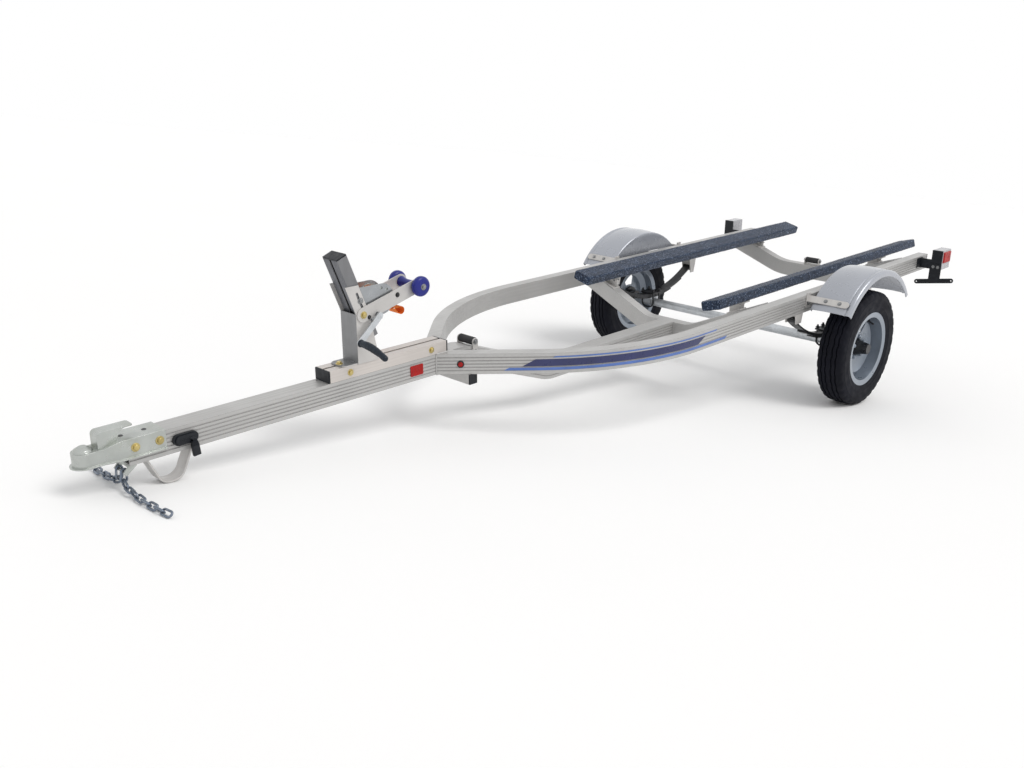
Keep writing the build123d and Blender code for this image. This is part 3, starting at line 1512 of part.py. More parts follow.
pieces = {
    "tongue": tongue,
    "side_rail_left": rail,
    "side_rail_right": mirrored(rail),
    "front_cross_member": make_cross_member(FRONT_MEMBER),
    "rear_cross_member": make_cross_member(REAR_MEMBER),
    "joint_tube": make_joint_tube(),
    "tube_end_caps": make_end_caps(),
    "coupler": make_coupler(),
    "coupler_latch": make_latch(),
    "tongue_foot": make_foot(),
    "chain_anchor": make_chain_anchor(),
    "plug_holder": make_plug_holder(),
    "wiring_plug": make_plug(),
    "carriage_tube": make_carriage(),
    "winch_stand": make_stand(),
    "winch_post": make_post(),
    "slot_tube_caps": make_slot_caps(),
    "bow_arms": make_arms(),
    "bow_roller": make_bow_roller(),
    "winch_frame": make_winch_frame(),
    "winch_drum": make_drum(),
    "winch_strap": make_strap(),
    "winch_crank": crank,
    "crank_grip": make_grip(crank_tip),
    "keel_brackets": make_keel_brackets(),
    "keel_roller_front": make_keel_roller(KEEL_FRONT["x"], KEEL_FRONT["axis_z"]),
    "keel_roller_rear": make_keel_roller(
        REAR_MEMBER["x"], REAR_MEMBER["flat_z"] + TUBE / 2 + KEEL_REAR_LIFT
    ),
    "bunk_left": bunk,
    "bunk_right": mirrored(bunk),
    "bunk_brackets": make_bunk_brackets(),
    "axle": make_axle(),
    "leaf_spring_left": spring,
    "leaf_spring_right": mirrored(spring),
    "spring_hangers": make_hangers(spring_eye),
    "spring_clamps": make_clamps(),
    "hub_left": hub,
    "hub_right": mirrored(hub),
    "rim_left": rim,
    "rim_right": mirrored(rim),
    "tyre_left": tyre,
    "tyre_right": mirrored(tyre),
    "fender_left": fender,
    "fender_right": mirrored(fender),
    "fender_straps": make_fender_straps(),
    "lamp_plates": make_lamp_brackets(),
    "tail_lamps": make_lamps(),
    "tail_lenses": make_lenses(),
    "plate_bracket": make_plate_bracket(),
    "side_markers": make_markers(),
    "reflectors": make_reflectors(),
}
chains = {
    "safety_chain_left": make_chain(1),
    "safety_chain_right": make_chain(-1),
}

# Set it down as it parks, with the origin on the ground under the middle of its length
tipped = Pos(0, 0, TYRE_R) * Rot(0, park_angle(), 0) * Pos(0, 0, -AXLE_Z)
shapes = {name: tipped * piece.part for name, piece in pieces.items()}
shapes.update({name: piece.part for name, piece in chains.items()})
boxes = [shape.bounding_box() for shape in shapes.values()]
middle = (min(box.min.X for box in boxes) + max(box.max.X for box in boxes)) / 2

os.makedirs("parts", exist_ok=True)
for name, shape in shapes.items():
    placed = Pos(-middle, 0, 0) * shape
    placed.label = name
    export_step(placed, f"parts/{name}.step")
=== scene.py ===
import json
import random
from math import asin, atan2, cos, degrees, hypot, pi, radians, sin, tan

import bmesh
import bpy
import numpy as np
from mathutils import Matrix, Vector, noise

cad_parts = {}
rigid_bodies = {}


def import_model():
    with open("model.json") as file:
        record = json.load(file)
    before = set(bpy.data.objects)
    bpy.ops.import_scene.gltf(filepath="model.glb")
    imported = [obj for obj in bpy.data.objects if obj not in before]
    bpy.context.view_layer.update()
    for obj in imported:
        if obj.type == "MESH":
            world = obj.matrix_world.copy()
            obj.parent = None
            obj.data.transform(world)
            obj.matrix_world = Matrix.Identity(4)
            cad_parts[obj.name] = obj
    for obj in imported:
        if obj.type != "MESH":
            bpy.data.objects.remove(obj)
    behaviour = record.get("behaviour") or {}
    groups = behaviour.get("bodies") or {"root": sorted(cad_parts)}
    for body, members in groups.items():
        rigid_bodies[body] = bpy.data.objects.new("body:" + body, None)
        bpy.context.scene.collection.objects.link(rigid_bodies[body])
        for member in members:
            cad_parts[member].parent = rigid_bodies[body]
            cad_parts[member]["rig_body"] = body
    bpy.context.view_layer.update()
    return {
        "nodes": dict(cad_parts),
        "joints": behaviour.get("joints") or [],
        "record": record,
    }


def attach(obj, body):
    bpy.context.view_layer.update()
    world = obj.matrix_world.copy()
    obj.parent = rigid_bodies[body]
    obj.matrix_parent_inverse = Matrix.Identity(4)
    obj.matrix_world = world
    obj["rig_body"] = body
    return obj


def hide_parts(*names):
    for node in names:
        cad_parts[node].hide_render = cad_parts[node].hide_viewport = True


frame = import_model()
nodes = frame["nodes"]
record = frame["record"]
sides = {"left": 1, "right": -1}

# Level millimetres, with X forward from the axle and Z up from the wheels' ground, to the row frame
wheel = next(j for j in frame["joints"] if j["name"] == "wheel_left_spin")["pos_m"]
top_axis = next(m for m in record["mounts"] if m["name"] == "bunk_top_left")["axis"]
TIP = atan2(top_axis[0], top_axis[2])
TURN = Matrix.Rotation(TIP, 4, "Y")
PARK = (
    Matrix.Translation((wheel[0], 0, wheel[2]))
    @ TURN
    @ Matrix.Translation((0, 0, -wheel[2]))
    @ Matrix.Scale(0.001, 4)
)

# Places and sizes that the pieces below share, in level millimetres
TYRE_R = 265.0
WHEEL_Y = 661.0
DISC_Y = 662.0
FRAME_Z = 495.0
TUBE_HALF = 38.0
JOINT_X = 2009.0
RAIL_W = 51.0
RAIL_OUT_Y = 535.0
RAIL_FACE_R = 950.5
RAIL_SLOPE = radians(43.0)
MEMBER_X = (545.0, -785.0)
SPRING_Y = 509.5

# Edges sharper than this, in degrees, are rounded; corners nearer than this, in metres, are welded
NODE_SHARP = 24
PIECE_SHARP = 28
WELD = 4e-6


# Mesh helpers

class Stock:
    """Corners and faces of one piece, gathered in level millimetres."""

    def __init__(self):
        self.verts = []
        self.faces = []
        self.paint = []

    def add(self, shape, place=None, paint=0):
        verts, faces = shape
        base = len(self.verts)
        self.verts += [place @ Vector(v) if place else Vector(v) for v in verts]
        self.faces += [tuple(base + i for i in face) for face in faces]
        self.paint += [paint] * len(faces)
        return self


def at(x, y, z, way=(0, 0, 1), spin=0.0):
    """A place whose own Z points along way."""
    turn = Vector(way).to_track_quat("Z", "Y").to_matrix().to_4x4()
    return Matrix.Translation((x, y, z)) @ turn @ Matrix.Rotation(radians(spin), 4, "Z")


def lathe(profile, count, closed=False):
    """Rings of (radius, height) points turned about Z; the profile may close on itself."""
    verts = []
    faces = []
    size = len(profile)
    for step in range(count):
        angle = 2 * pi * step / count
        verts += [(r * cos(angle), r * sin(angle), h) for r, h in profile]
    for step in range(count):
        here = step * size
        there = (step + 1) % count * size
        for i in range(size if closed else size - 1):
            j = (i + 1) % size
            faces.append((here + i, there + i, there + j, here + j))
    return verts, faces


def grid(rows, loop_rows=False, loop_cols=False, cap=False):
    """Faces over rows of points; cap closes the first and the last row."""
    verts = [p for row in rows for p in row]
    high = len(rows)
    wide = len(rows[0])
    faces = []
    for i in range(high if loop_rows else high - 1):
        for j in range(wide if loop_cols else wide - 1):
            a = i * wide + j
            b = i * wide + (j + 1) % wide
            c = (i + 1) % high * wide + (j + 1) % wide
            d = (i + 1) % high * wide + j
            faces.append((a, b, c, d))
    if cap:
        faces.append(tuple(range(wide))[::-1])
        faces.append(tuple(range((high - 1) * wide, high * wide)))
    return verts, faces


def prism(outline, low, high):
    """A closed outline in X and Y, drawn out along Z."""
    size = len(outline)
    verts = [(x, y, low) for x, y in outline] + [(x, y, high) for x, y in outline]
    faces = [(i, (i + 1) % size, size + (i + 1) % size, size + i) for i in range(size)]
    return verts, faces + [tuple(range(size))[::-1], tuple(range(size, 2 * size))]


def ring_points(radius, count):
    angles = [2 * pi * k / count for k in range(count)]
    return [(radius * cos(a), radius * sin(a)) for a in angles]


def sweep(points, section, closed=False, scale=None):
    """A section of (side, up) points carried along a path without twisting."""
    path = [Vector(p) for p in points]
    count = len(path)
    ways = []
    for i in range(count):
        before = path[i - 1] if closed or i else path[i]
        after = path[(i + 1) % count] if closed or i < count - 1 else path[i]
        ways.append((after - before).normalized())
    side = Vector((0, 0, 1)).cross(ways[0])
    if side.length < 0.01:
        side = Vector((0, 1, 0))
    side.normalize()
    rows = []
    for i, way in enumerate(ways):
        side = (side - way * side.dot(way)).normalized()
        up = way.cross(side)
        size = scale[i] if scale else 1.0
        rows.append([path[i] + side * (a * size) + up * (b * size) for a, b in section])
    return grid(rows, closed, True, not closed)


def wire(points, radius, sides_count=10, closed=False, scale=None):
    return sweep(points, ring_points(radius, sides_count), closed, scale)


def bead(start, end, radius):
    """A rippled weld bead along a line."""
    a = Vector(start)
    b = Vector(end)
    steps = max(4, int((b - a).length / 2.2))
    points = [a.lerp(b, i / steps) for i in range(steps + 1)]
    return wire(points, radius, 8, scale=[1.0 + 0.16 * sin(i * 2.1) for i in range(steps + 1)])


def bolt(size, washer=True, nut=False):
    """A hexagon head with a cut rim on its washer, or a nut with the thread standing out of it."""
    stock = Stock()
    base = 0.0
    if washer:
        base = size * 0.2
        rim = size * 1.45
        stock.add(lathe([(0, base), (size * 1.35, base), (rim, base * 0.6), (rim, 0), (0, 0)], 20))
    top = base + size * 0.72
    head = [(0, top), (size * 0.86, top), (size, top - size * 0.14), (size, base), (0, base)]
    stock.add(lathe(head, 6))
    if nut:
        root = size * 0.52
        rise = size * 0.11
        for k in range(4):
            low = top + k * rise
            high = low + rise
            thread = [(0, low), (root, low), (root * 1.12, (low + high) / 2), (root, high), (0, high)]
            stock.add(lathe(thread, 12))
    return stock.verts, stock.faces


def weigh(mesh):
    """Face-weighted corner normals, so that flat faces stay flat between their rounded edges."""
    bm = bmesh.new()
    bm.from_mesh(mesh)
    normals = []
    for face in bm.faces:
        for loop in face.loops:
            total = Vector()
            for other in loop.vert.link_faces:
                if face.normal.dot(other.normal) > 0.55:
                    total += other.normal * other.calc_area()
            normals.append(total.normalized() if total.length > 0 else face.normal.copy())
    bm.free()
    mesh.polygons.foreach_set("use_smooth", [True] * len(mesh.polygons))
    mesh.normals_split_custom_set(normals)


def finish_mesh(bm, mesh, width, sharp):
    """Welds, rounds the edges sharper than sharp degrees and writes the mesh."""
    bmesh.ops.remove_doubles(bm, verts=bm.verts, dist=WELD)
    bmesh.ops.dissolve_degenerate(bm, edges=bm.edges, dist=2e-6)
    bmesh.ops.recalc_face_normals(bm, faces=bm.faces)
    if width:
        edges = [e for e in bm.edges if e.is_manifold and e.calc_face_angle() > radians(sharp)]
        bmesh.ops.bevel(
            bm, geom=edges, offset=width * 0.001, offset_type="OFFSET", segments=2,
            profile=0.5, affect="EDGES", clamp_overlap=True,
        )
    bm.to_mesh(mesh)
    bm.free()
    weigh(mesh)


def place_piece(name, mesh, body, materials, replaced):
    obj = bpy.data.objects.new(name, mesh)
    bpy.context.scene.collection.objects.link(obj)
    for material in materials:
        mesh.materials.append(material)
    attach(obj, body)
    if replaced:
        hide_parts(*replaced)
    return obj


def piece(name, stock, body, materials, width=0.0, level=True, replaced=()):
    """A mesh piece that rides on a body and takes the materials given to it."""
    mesh = bpy.data.meshes.new(name)
    verts = [PARK @ v for v in stock.verts] if level else stock.verts
    mesh.from_pydata(verts, [], stock.faces)
    mesh.polygons.foreach_set("material_index", stock.paint)
    bm = bmesh.new()
    bm.from_mesh(mesh)
    finish_mesh(bm, mesh, width, PIECE_SHARP)
    return place_piece(name, mesh, body, materials, replaced)


def soften(node, materials, width, second=None):
    """The node's own form with its edges rounded; second says which faces take the other material."""
    source = nodes[node]
    mesh = source.data.copy()
    mesh.materials.clear()
    bm = bmesh.new()
    bm.from_mesh(mesh)
    bmesh.ops.remove_doubles(bm, verts=bm.verts, dist=WELD)
    bmesh.ops.dissolve_limit(bm, angle_limit=radians(0.8), verts=bm.verts, edges=bm.edges)
    finish_mesh(bm, mesh, width, NODE_SHARP)
    if second:
        back = TURN.inverted().to_3x3()
        for face in mesh.polygons:
            face.material_index = int(second(back @ face.normal))
    return place_piece(node + "_rounded", mesh, source["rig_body"], materials, (node,))


# Materials

def add(tree, kind, inputs=None, **settings):
    made = tree.nodes.new(kind)
    for key, value in settings.items():
        setattr(made, key, value)
    for key, value in (inputs or {}).items():
        if isinstance(value, bpy.types.NodeSocket):
            tree.links.new(value, made.inputs[key])
        else:
            made.inputs[key].default_value = value
    return made


def level_coords(tree):
    """Object coordinates turned so that their X runs along the tongue."""
    place = add(tree, "ShaderNodeTexCoord").outputs["Object"]
    return add(tree, "ShaderNodeMapping", {"Vector": place, "Rotation": (0, -TIP, 0)}).outputs["Vector"]


def scaled(tree, vector, scale):
    return add(tree, "ShaderNodeMapping", {"Vector": vector, "Scale": scale}).outputs["Vector"]


def noise_of(tree, vector, scale, detail=4.0, rough=0.55):
    inputs = {"Vector": vector, "Scale": scale, "Detail": detail, "Roughness": rough}
    return add(tree, "ShaderNodeTexNoise", inputs).outputs["Fac"]


def spread(tree, value, low, high, from_low=0.3, from_high=0.7):
    made = add(
        tree, "ShaderNodeMapRange",
        {"Value": value, "From Min": from_low, "From Max": from_high, "To Min": low, "To Max": high},
    )
    return made.outputs["Result"]


def mix(tree, factor, one, two):
    made = add(tree, "ShaderNodeMix", data_type="RGBA")
    for socket, value in zip((made.inputs[0], made.inputs[6], made.inputs[7]), (factor, one, two)):
        if isinstance(value, bpy.types.NodeSocket):
            tree.links.new(value, socket)
        else:
            socket.default_value = value
    return made.outputs[2]


def shade(colour, factor):
    return tuple(min(1.0, c * factor) for c in colour) + (1.0,)


def surface(
    name, colour, metallic, rough, mottle=(6.0, 0.12), streak=None, grain=(260.0, 0.0002),
    vary=0.12, coat=0.0, specular=0.5, spot=None,
):
    """A base finish: mottled colour, uneven roughness, streaks along the tongue and a fine grain.

    spot adds a second colour where a coarse noise is high: (colour, scale, start, end).
    """
    made = bpy.data.materials.new(name)
    made.use_nodes = True
    tree = made.node_tree
    shader = tree.nodes["Principled BSDF"]
    place = level_coords(tree)
    tone = mix(
        tree, spread(tree, noise_of(tree, place, mottle[0]), 0.0, 1.0),
        shade(colour, 1.0 - mottle[1]), shade(colour, 1.0 + mottle[1]),
    )
    if spot:
        patch = spread(tree, noise_of(tree, place, spot[1], 6.0, 0.65), 0.0, 1.0, spot[2], spot[3])
        tone = mix(tree, patch, tone, shade(spot[0], 1.0))
    uneven = noise_of(tree, place, mottle[0] * 3.1, 5.0)
    height = noise_of(tree, place, grain[0], 3.0)
    if streak:
        lines = noise_of(tree, scaled(tree, place, streak), 1.0, 5.0, 0.6)
        tone = mix(tree, spread(tree, lines, 0.0, 0.35), tone, shade(colour, 0.78))
        uneven = add(tree, "ShaderNodeMath", {0: uneven, 1: lines}, operation="MULTIPLY").outputs[0]
        uneven = add(tree, "ShaderNodeMath", {0: uneven, 1: 2.0}, operation="MULTIPLY").outputs[0]
    tree.links.new(tone, shader.inputs["Base Color"])
    uneven = spread(tree, uneven, max(0.02, rough - vary), min(1.0, rough + vary))
    tree.links.new(uneven, shader.inputs["Roughness"])
    shader.inputs["Metallic"].default_value = metallic
    shader.inputs["Specular IOR Level"].default_value = specular
    shader.inputs["Coat Weight"].default_value = coat
    shader.inputs["Coat Roughness"].default_value = 0.08
    relief = add(tree, "ShaderNodeBump", {"Height": height, "Strength": 0.6, "Distance": grain[1]})
    tree.links.new(relief.outputs["Normal"], shader.inputs["Normal"])
    return made


def carpet_material():
    """Short marine carpet: navy ground with pale and dark flecks and a looped pile."""
    made = surface(
        "bunk_carpet", (0.014, 0.028, 0.058), 0.0, 0.95, (30.0, 0.35), None, (900.0, 0.0015), 0.05, 0, 0.2,
    )
    tree = made.node_tree
    shader = tree.nodes["Principled BSDF"]
    place = level_coords(tree)
    ground = shader.inputs["Base Color"].links[0].from_socket
    fleck = spread(tree, noise_of(tree, place, 160.0, 4.0), 0.0, 1.0, 0.54, 0.62)
    pale = mix(tree, fleck, ground, (0.15, 0.19, 0.28, 1))
    dark = spread(tree, noise_of(tree, place, 130.0, 4.0), 0.0, 1.0, 0.56, 0.62)
    tree.links.new(mix(tree, dark, pale, (0.008, 0.012, 0.026, 1)), shader.inputs["Base Color"])
    shader.inputs["Sheen Weight"].default_value = 0.25
    shader.inputs["Sheen Roughness"].default_value = 0.5
    return made


def spangle_material():
    """Galvanised steel: crystals of slightly different greys."""
    made = surface("galvanised_steel", (0.50, 0.52, 0.54), 0.85, 0.42, (9.0, 0.1))
    tree = made.node_tree
    shader = tree.nodes["Principled BSDF"]
    place = level_coords(tree)
    cells = add(tree, "ShaderNodeTexVoronoi", {"Vector": place, "Scale": 95.0})
    tone = shader.inputs["Base Color"].links[0].from_socket
    cell = spread(tree, cells.outputs["Color"], 0.0, 0.6, 0.0, 1.0)
    tree.links.new(mix(tree, cell, tone, (0.66, 0.69, 0.72, 1)), shader.inputs["Base Color"])
    return made


def webbing_material():
    """Woven webbing: ribs across and a fine weave."""
    made = surface(
        "orange_webbing", (0.90, 0.22, 0.025), 0.0, 0.8, (40.0, 0.12), None, (700.0, 0.0006), 0.08, 0, 0.3,
    )
    tree = made.node_tree
    shader = tree.nodes["Principled BSDF"]
    place = level_coords(tree)
    inputs = {"Vector": place, "Scale": 210.0, "Distortion": 0.6}
    rib = add(tree, "ShaderNodeTexWave", inputs, bands_direction="Y")
    tone = shader.inputs["Base Color"].links[0].from_socket
    share = spread(tree, rib.outputs["Fac"], 0, 0.35, 0, 1)
    tree.links.new(mix(tree, share, tone, (0.70, 0.14, 0.018, 1)), shader.inputs["Base Color"])
    return made


def lens_material():
    """Moulded red lens with a little depth."""
    made = surface(
        "red_lens", (0.36, 0.005, 0.004), 0.0, 0.24, (40.0, 0.2), None, (120.0, 0.0002), 0.05, 0.0, 0.3,
    )
    shader = made.node_tree.nodes["Principled BSDF"]
    shader.inputs["Subsurface Weight"].default_value = 0.15
    shader.inputs["Subsurface Radius"].default_value = (0.01, 0.002, 0.001)
    return made


TUBE_STREAK = (1.6, 150.0, 150.0)
FINE = (240.0, 0.0002)
SMOOTH = (40.0, 0.00004)
M = {
    "aluminium_tube": surface("aluminium_tube", (0.475, 0.470, 0.462), 0.45, 0.42, (3.0, 0.07), TUBE_STREAK),
    "aluminium_plate": surface(
        "aluminium_plate", (0.56, 0.545, 0.53), 0.35, 0.44, (8.0, 0.06), (20.0, 90.0, 20.0),
    ),
    "grey_post": surface("grey_post", (0.125, 0.13, 0.145), 0.45, 0.40, (7.0, 0.10), (60.0, 120.0, 3.0)),
    "galvanised_steel": spangle_material(),
    "zinc_steel": surface(
        "zinc_steel", (0.45, 0.47, 0.45), 0.80, 0.32, (12.0, 0.12), None, (90.0, 0.00015), 0.10, 0, 0.5,
        ((0.37, 0.39, 0.34), 14.0, 0.50, 0.78),
    ),
    "chain_steel": surface(
        "chain_steel", (0.17, 0.20, 0.25), 0.75, 0.38, (30.0, 0.3), None, (320.0, 0.0003), 0.15, 0, 0.5,
        ((0.40, 0.42, 0.45), 60.0, 0.55, 0.75),
    ),
    "black_steel": surface("black_steel", (0.022, 0.023, 0.026), 0.2, 0.38, (10.0, 0.3), None, FINE),
    "black_hub": surface("black_hub", (0.009, 0.010, 0.013), 0.1, 0.32, (14.0, 0.3), None, FINE, 0.1),
    "silver_rim": surface(
        "silver_rim", (0.25, 0.285, 0.335), 0.5, 0.33, (5.0, 0.08), None, SMOOTH, 0.08, 0.3,
    ),
    "silver_fender": surface(
        "silver_fender", (0.37, 0.388, 0.43), 0.35, 0.26, (4.0, 0.05), None, SMOOTH, 0.06, 0.4,
    ),
    "black_plastic": surface(
        "black_plastic", (0.009, 0.011, 0.015), 0.0, 0.45, (20.0, 0.3), None, FINE, 0.12, 0.0, 0.3,
    ),
    "silver_lamp": surface(
        "silver_lamp", (0.40, 0.40, 0.42), 0.4, 0.26, (12.0, 0.06), None, FINE, 0.08, 0.3,
    ),
    "red_lens": lens_material(),
    "blue_polymer": surface(
        "blue_polymer", (0.008, 0.014, 0.20), 0.0, 0.32, (16.0, 0.18), None, FINE, 0.08, 0.0, 0.4,
    ),
    "black_rubber": surface("black_rubber", (0.020, 0.020, 0.022), 0.0, 0.72, (18.0, 0.3), None, FINE, 0.1),
    "tyre_rubber": surface(
        "tyre_rubber", (0.004, 0.0045, 0.009), 0.0, 0.65, (9.0, 0.3), None, (380.0, 0.0003), 0.1, 0, 0.15,
        ((0.010, 0.011, 0.015), 11.0, 0.56, 0.85),
    ),
    "orange_webbing": webbing_material(),
    "bunk_carpet": carpet_material(),
}
# Painted shade: a darker copy of the tube aluminium, put on the faces inside the grooves of the tongue and
# rails where shade falls.
GROOVE_PAINTED_SHADE = surface("groove_painted_shade", (0.22, 0.215, 0.21), 0.2, 0.65, (4.0, 0.15), TUBE_STREAK)
# Painted light: a lighter copy of the grey post finish for the post's side faces; the post's other faces
# keep the darker grey_post as painted shade.
POST_SIDE_PAINTED_LIGHT = surface("post_side_painted_light", (0.20, 0.202, 0.21), 0.45, 0.40, (7.0, 0.10), (60.0, 120.0, 3.0))
# Painted shade: a dark grey copy of the stand's aluminium for the winch stand's faces other than its sides,
# which take the lighter aluminium_plate as painted light.
STAND_PAINTED_SHADE = surface("stand_painted_shade", (0.24, 0.243, 0.25), 0.45, 0.36, (9.0, 0.08), (30.0, 30.0, 6.0))
CARRIAGE = surface("carriage_sheet", (0.60, 0.56, 0.53), 0.35, 0.42, (3.0, 0.07), TUBE_STREAK)
DISC = surface("winch_disc", (0.34, 0.355, 0.37), 0.75, 0.34, (14.0, 0.12), None, FINE)
BOLT = surface("bolt_steel", (0.26, 0.265, 0.27), 0.8, 0.36, (40.0, 0.15), None, FINE)
SLATE = surface("slate_grip", (0.009, 0.016, 0.026), 0.0, 0.40, (20.0, 0.25), None, FINE, 0.1, 0.0, 0.3)
GOLD = surface("gold_zinc", (0.50, 0.405, 0.17), 0.85, 0.32, (30.0, 0.2), None, (240.0, 0.0002))
NAVY = surface("navy_film", (0.010, 0.016, 0.095), 0.0, 0.30, (14.0, 0.15), None, (160.0, 0.0001), 0.06, 0.3)
SKY = surface("blue_film", (0.070, 0.15, 0.44), 0.0, 0.32, (14.0, 0.15), None, (160.0, 0.0001), 0.06, 0.3)


# Plain CAD forms with rounded edges
ROUNDED = (
    ("tongue", "aluminium_tube", 0.7),
    ("side_rail_left", "aluminium_tube", 0.7),
    ("side_rail_right", "aluminium_tube", 0.7),
    ("front_cross_member", "aluminium_tube", 2.2),
    ("rear_cross_member", "aluminium_tube", 2.2),
    ("joint_tube", "aluminium_tube", 1.5),
    ("carriage_tube", CARRIAGE, 0.7),
    ("tube_end_caps", "black_plastic", 1.5),
    ("slot_tube_caps", "black_plastic", 1.5),
    ("coupler", "zinc_steel", 2.0),
    ("coupler_latch", "zinc_steel", 1.2),
    ("tongue_foot", "aluminium_plate", 1.6),
    ("chain_anchor", "zinc_steel", 0.8),
    ("winch_stand", STAND_PAINTED_SHADE, 0.9),
    ("winch_post", "grey_post", 0.7),
    ("bow_arms", "aluminium_plate", 0.9),
    ("winch_frame", DISC, 0.7),
    ("winch_drum", "zinc_steel", 0.5),
    ("winch_crank", "galvanised_steel", 0.9),
    ("keel_brackets", "aluminium_plate", 0.9),
    ("keel_roller_front", "black_rubber", 2.0),
    ("keel_roller_rear", "black_rubber", 2.0),
    ("bunk_brackets", "aluminium_plate", 0.9),
    ("axle", "galvanised_steel", 1.0),
    ("leaf_spring_left", "black_steel", 0.9),
    ("leaf_spring_right", "black_steel", 0.9),
    ("spring_hangers", "aluminium_plate", 0.9),
    ("spring_clamps", "black_steel", 1.2),
    ("hub_left", "black_hub", 1.6),
    ("hub_right", "black_hub", 1.6),
    ("rim_left", "silver_rim", 1.4),
    ("rim_right", "silver_rim", 1.4),
    ("fender_straps", "aluminium_plate", 1.0),
    ("lamp_plates", "black_plastic", 0.8),
    ("tail_lamps", "silver_lamp", 3.0),
    ("plate_bracket", "black_plastic", 0.9),
)


def in_groove(way):
    return 0.35 < abs(way.z) < 0.82


def on_side(way):
    return abs(way.y) > 0.6


SECOND = {
    # The grooves of the tongue and rails take painted shade.
    "tongue": (GROOVE_PAINTED_SHADE, in_groove),
    "side_rail_left": (GROOVE_PAINTED_SHADE, in_groove),
    "side_rail_right": (GROOVE_PAINTED_SHADE, in_groove),
    # The stand's side faces take painted light against the painted shade of its other faces.
    "winch_stand": (M["aluminium_plate"], on_side),
    # The post's side faces take painted light against the painted shade of its front.
    "winch_post": (POST_SIDE_PAINTED_LIGHT, on_side),
}
for node, finish, width in ROUNDED:
    paints = [finish if isinstance(finish, bpy.types.Material) else M[finish]]
    rule = None
    if node in SECOND:
        other, rule = SECOND[node]
        paints.append(other)
    soften(node, paints, width, rule)


# Wheels: tread with zigzag grooves, side walls, lip ring, wheel nuts and valve
TREAD_STEPS = 192
ZIG = (0.0, 0.55, 1.0, 0.55, 0.0, -0.25)
ZIG_REACH = 3.2
NOTCH_DEPTH = 4.5
NUT_CIRCLE_R = 50.0
VALVE_R = 136.0


def tyre_profile():
    """Half the section, from the middle outward: (offset, radius, zigzag share, block share)."""
    points = [(0.0, 265.0, 0.0, 0.0), (6.0, 264.9, 0.0, 0.0)]
    for groove, crown in ((13.0, 264.7), (33.0, 263.6)):
        points.append((groove - 3.2, crown, 1.0, 0.0))
        points.append((groove - 2.4, crown - 6.5, 1.0, 0.0))
        points.append((groove + 2.4, crown - 6.5, 1.0, 0.0))
        points.append((groove + 3.2, crown, 1.0, 0.0))
    points += [
        (47.0, 262.2, 0.0, 0.0), (52.0, 261.0, 0.0, 0.6), (57.0, 256.5, 0.0, 1.0), (60.0, 250.0, 0.0, 1.0),
        (61.4, 243.0, 0.0, 0.0), (62.6, 235.0, 0.0, 0.0), (62.9, 233.5, 0.0, 0.0), (63.7, 232.0, 0.0, 0.0),
        (63.8, 230.0, 0.0, 0.0), (63.0, 228.4, 0.0, 0.0), (63.4, 219.0, 0.0, 0.0), (63.0, 206.0, 0.0, 0.0),
        (62.8, 199.5, 0.0, 0.0), (63.3, 198.0, 0.0, 0.0), (63.2, 196.0, 0.0, 0.0), (62.0, 194.5, 0.0, 0.0),
        (60.4, 184.0, 0.0, 0.0), (58.6, 176.0, 0.0, 0.0), (58.5, 172.5, 0.0, 0.0), (56.8, 170.8, 0.0, 0.0),
        (54.0, 161.0, 0.0, 0.0), (52.8, 152.6, 0.0, 0.0),
    ]
    return points


for side, sign in sides.items():
    body = "wheel_" + side
    half = tyre_profile()
    section = [(-y, r, z, b) for y, r, z, b in half[:0:-1]] + list(half)
    rows = []
    for step in range(TREAD_STEPS):
        angle = 2 * pi * step / TREAD_STEPS
        zig = ZIG[step % 6] * ZIG_REACH - 1.0
        notch = NOTCH_DEPTH if step % 6 in (4, 5) else 0.0
        row = []
        for y, r, share, block in section:
            radius = r - notch * block
            row.append((radius * cos(angle), WHEEL_Y * sign + y + zig * share, TYRE_R + radius * sin(angle)))
        rows.append(row)
    stock = Stock().add(grid(rows, True, True))
    name = "tyre_" + side
    piece(name + "_tread", stock, body, [M["tyre_rubber"]], replaced=(name,))

    trim = Stock()
    axis = (0, sign, 0)
    lip = [(170 + a, 718 - WHEEL_Y - 3.0 + b) for a, b in ring_points(2.6, 12)]
    trim.add(lathe([(min(r, 171.5), h) for r, h in lip], 96, True), at(0, WHEEL_Y * sign, TYRE_R, axis))
    for k in range(5):
        turn = radians(90 + 72 * k)
        spot = (NUT_CIRCLE_R * cos(turn), DISC_Y * sign, TYRE_R + NUT_CIRCLE_R * sin(turn))
        nut = [(0, 19), (5.0, 18.5), (8.5, 15), (10.2, 13), (10.2, 3.5), (12.5, 1.5), (12.5, 0), (0, 0)]
        trim.add(lathe(nut, 6), at(*spot, axis))
    piece("wheel_nuts_" + side, trim, body, [M["silver_rim"]], 0.4)
    stem = Stock()
    turn = radians(126)
    foot = Vector((VALVE_R * cos(turn), (DISC_Y + 4) * sign, TYRE_R + VALVE_R * sin(turn)))
    valve = [(0, 34), (3.0, 34), (4.0, 32.5), (4.0, 24), (3.2, 23), (3.4, 14), (5.5, 8), (6.0, 0), (0, 0)]
    stem.add(lathe(valve, 16), at(*foot, (-0.45 * cos(turn), sign, -0.45 * sin(turn))))
    piece("valve_stem_" + side, stem, body, [M["black_rubber"]])


# Fenders: one pressed sheet with a hemmed edge, and the inner skirt
FENDER_STEPS = 72
FENDER_SHEET = 2.8
FENDER_ARCH = [radians(36 + 108 * k / FENDER_STEPS) for k in range(FENDER_STEPS + 1)]
HEM_R = 341.5
HEM_Y = 745.4
SKIRT_R = 358.0
SKIRT_Z = 526.0


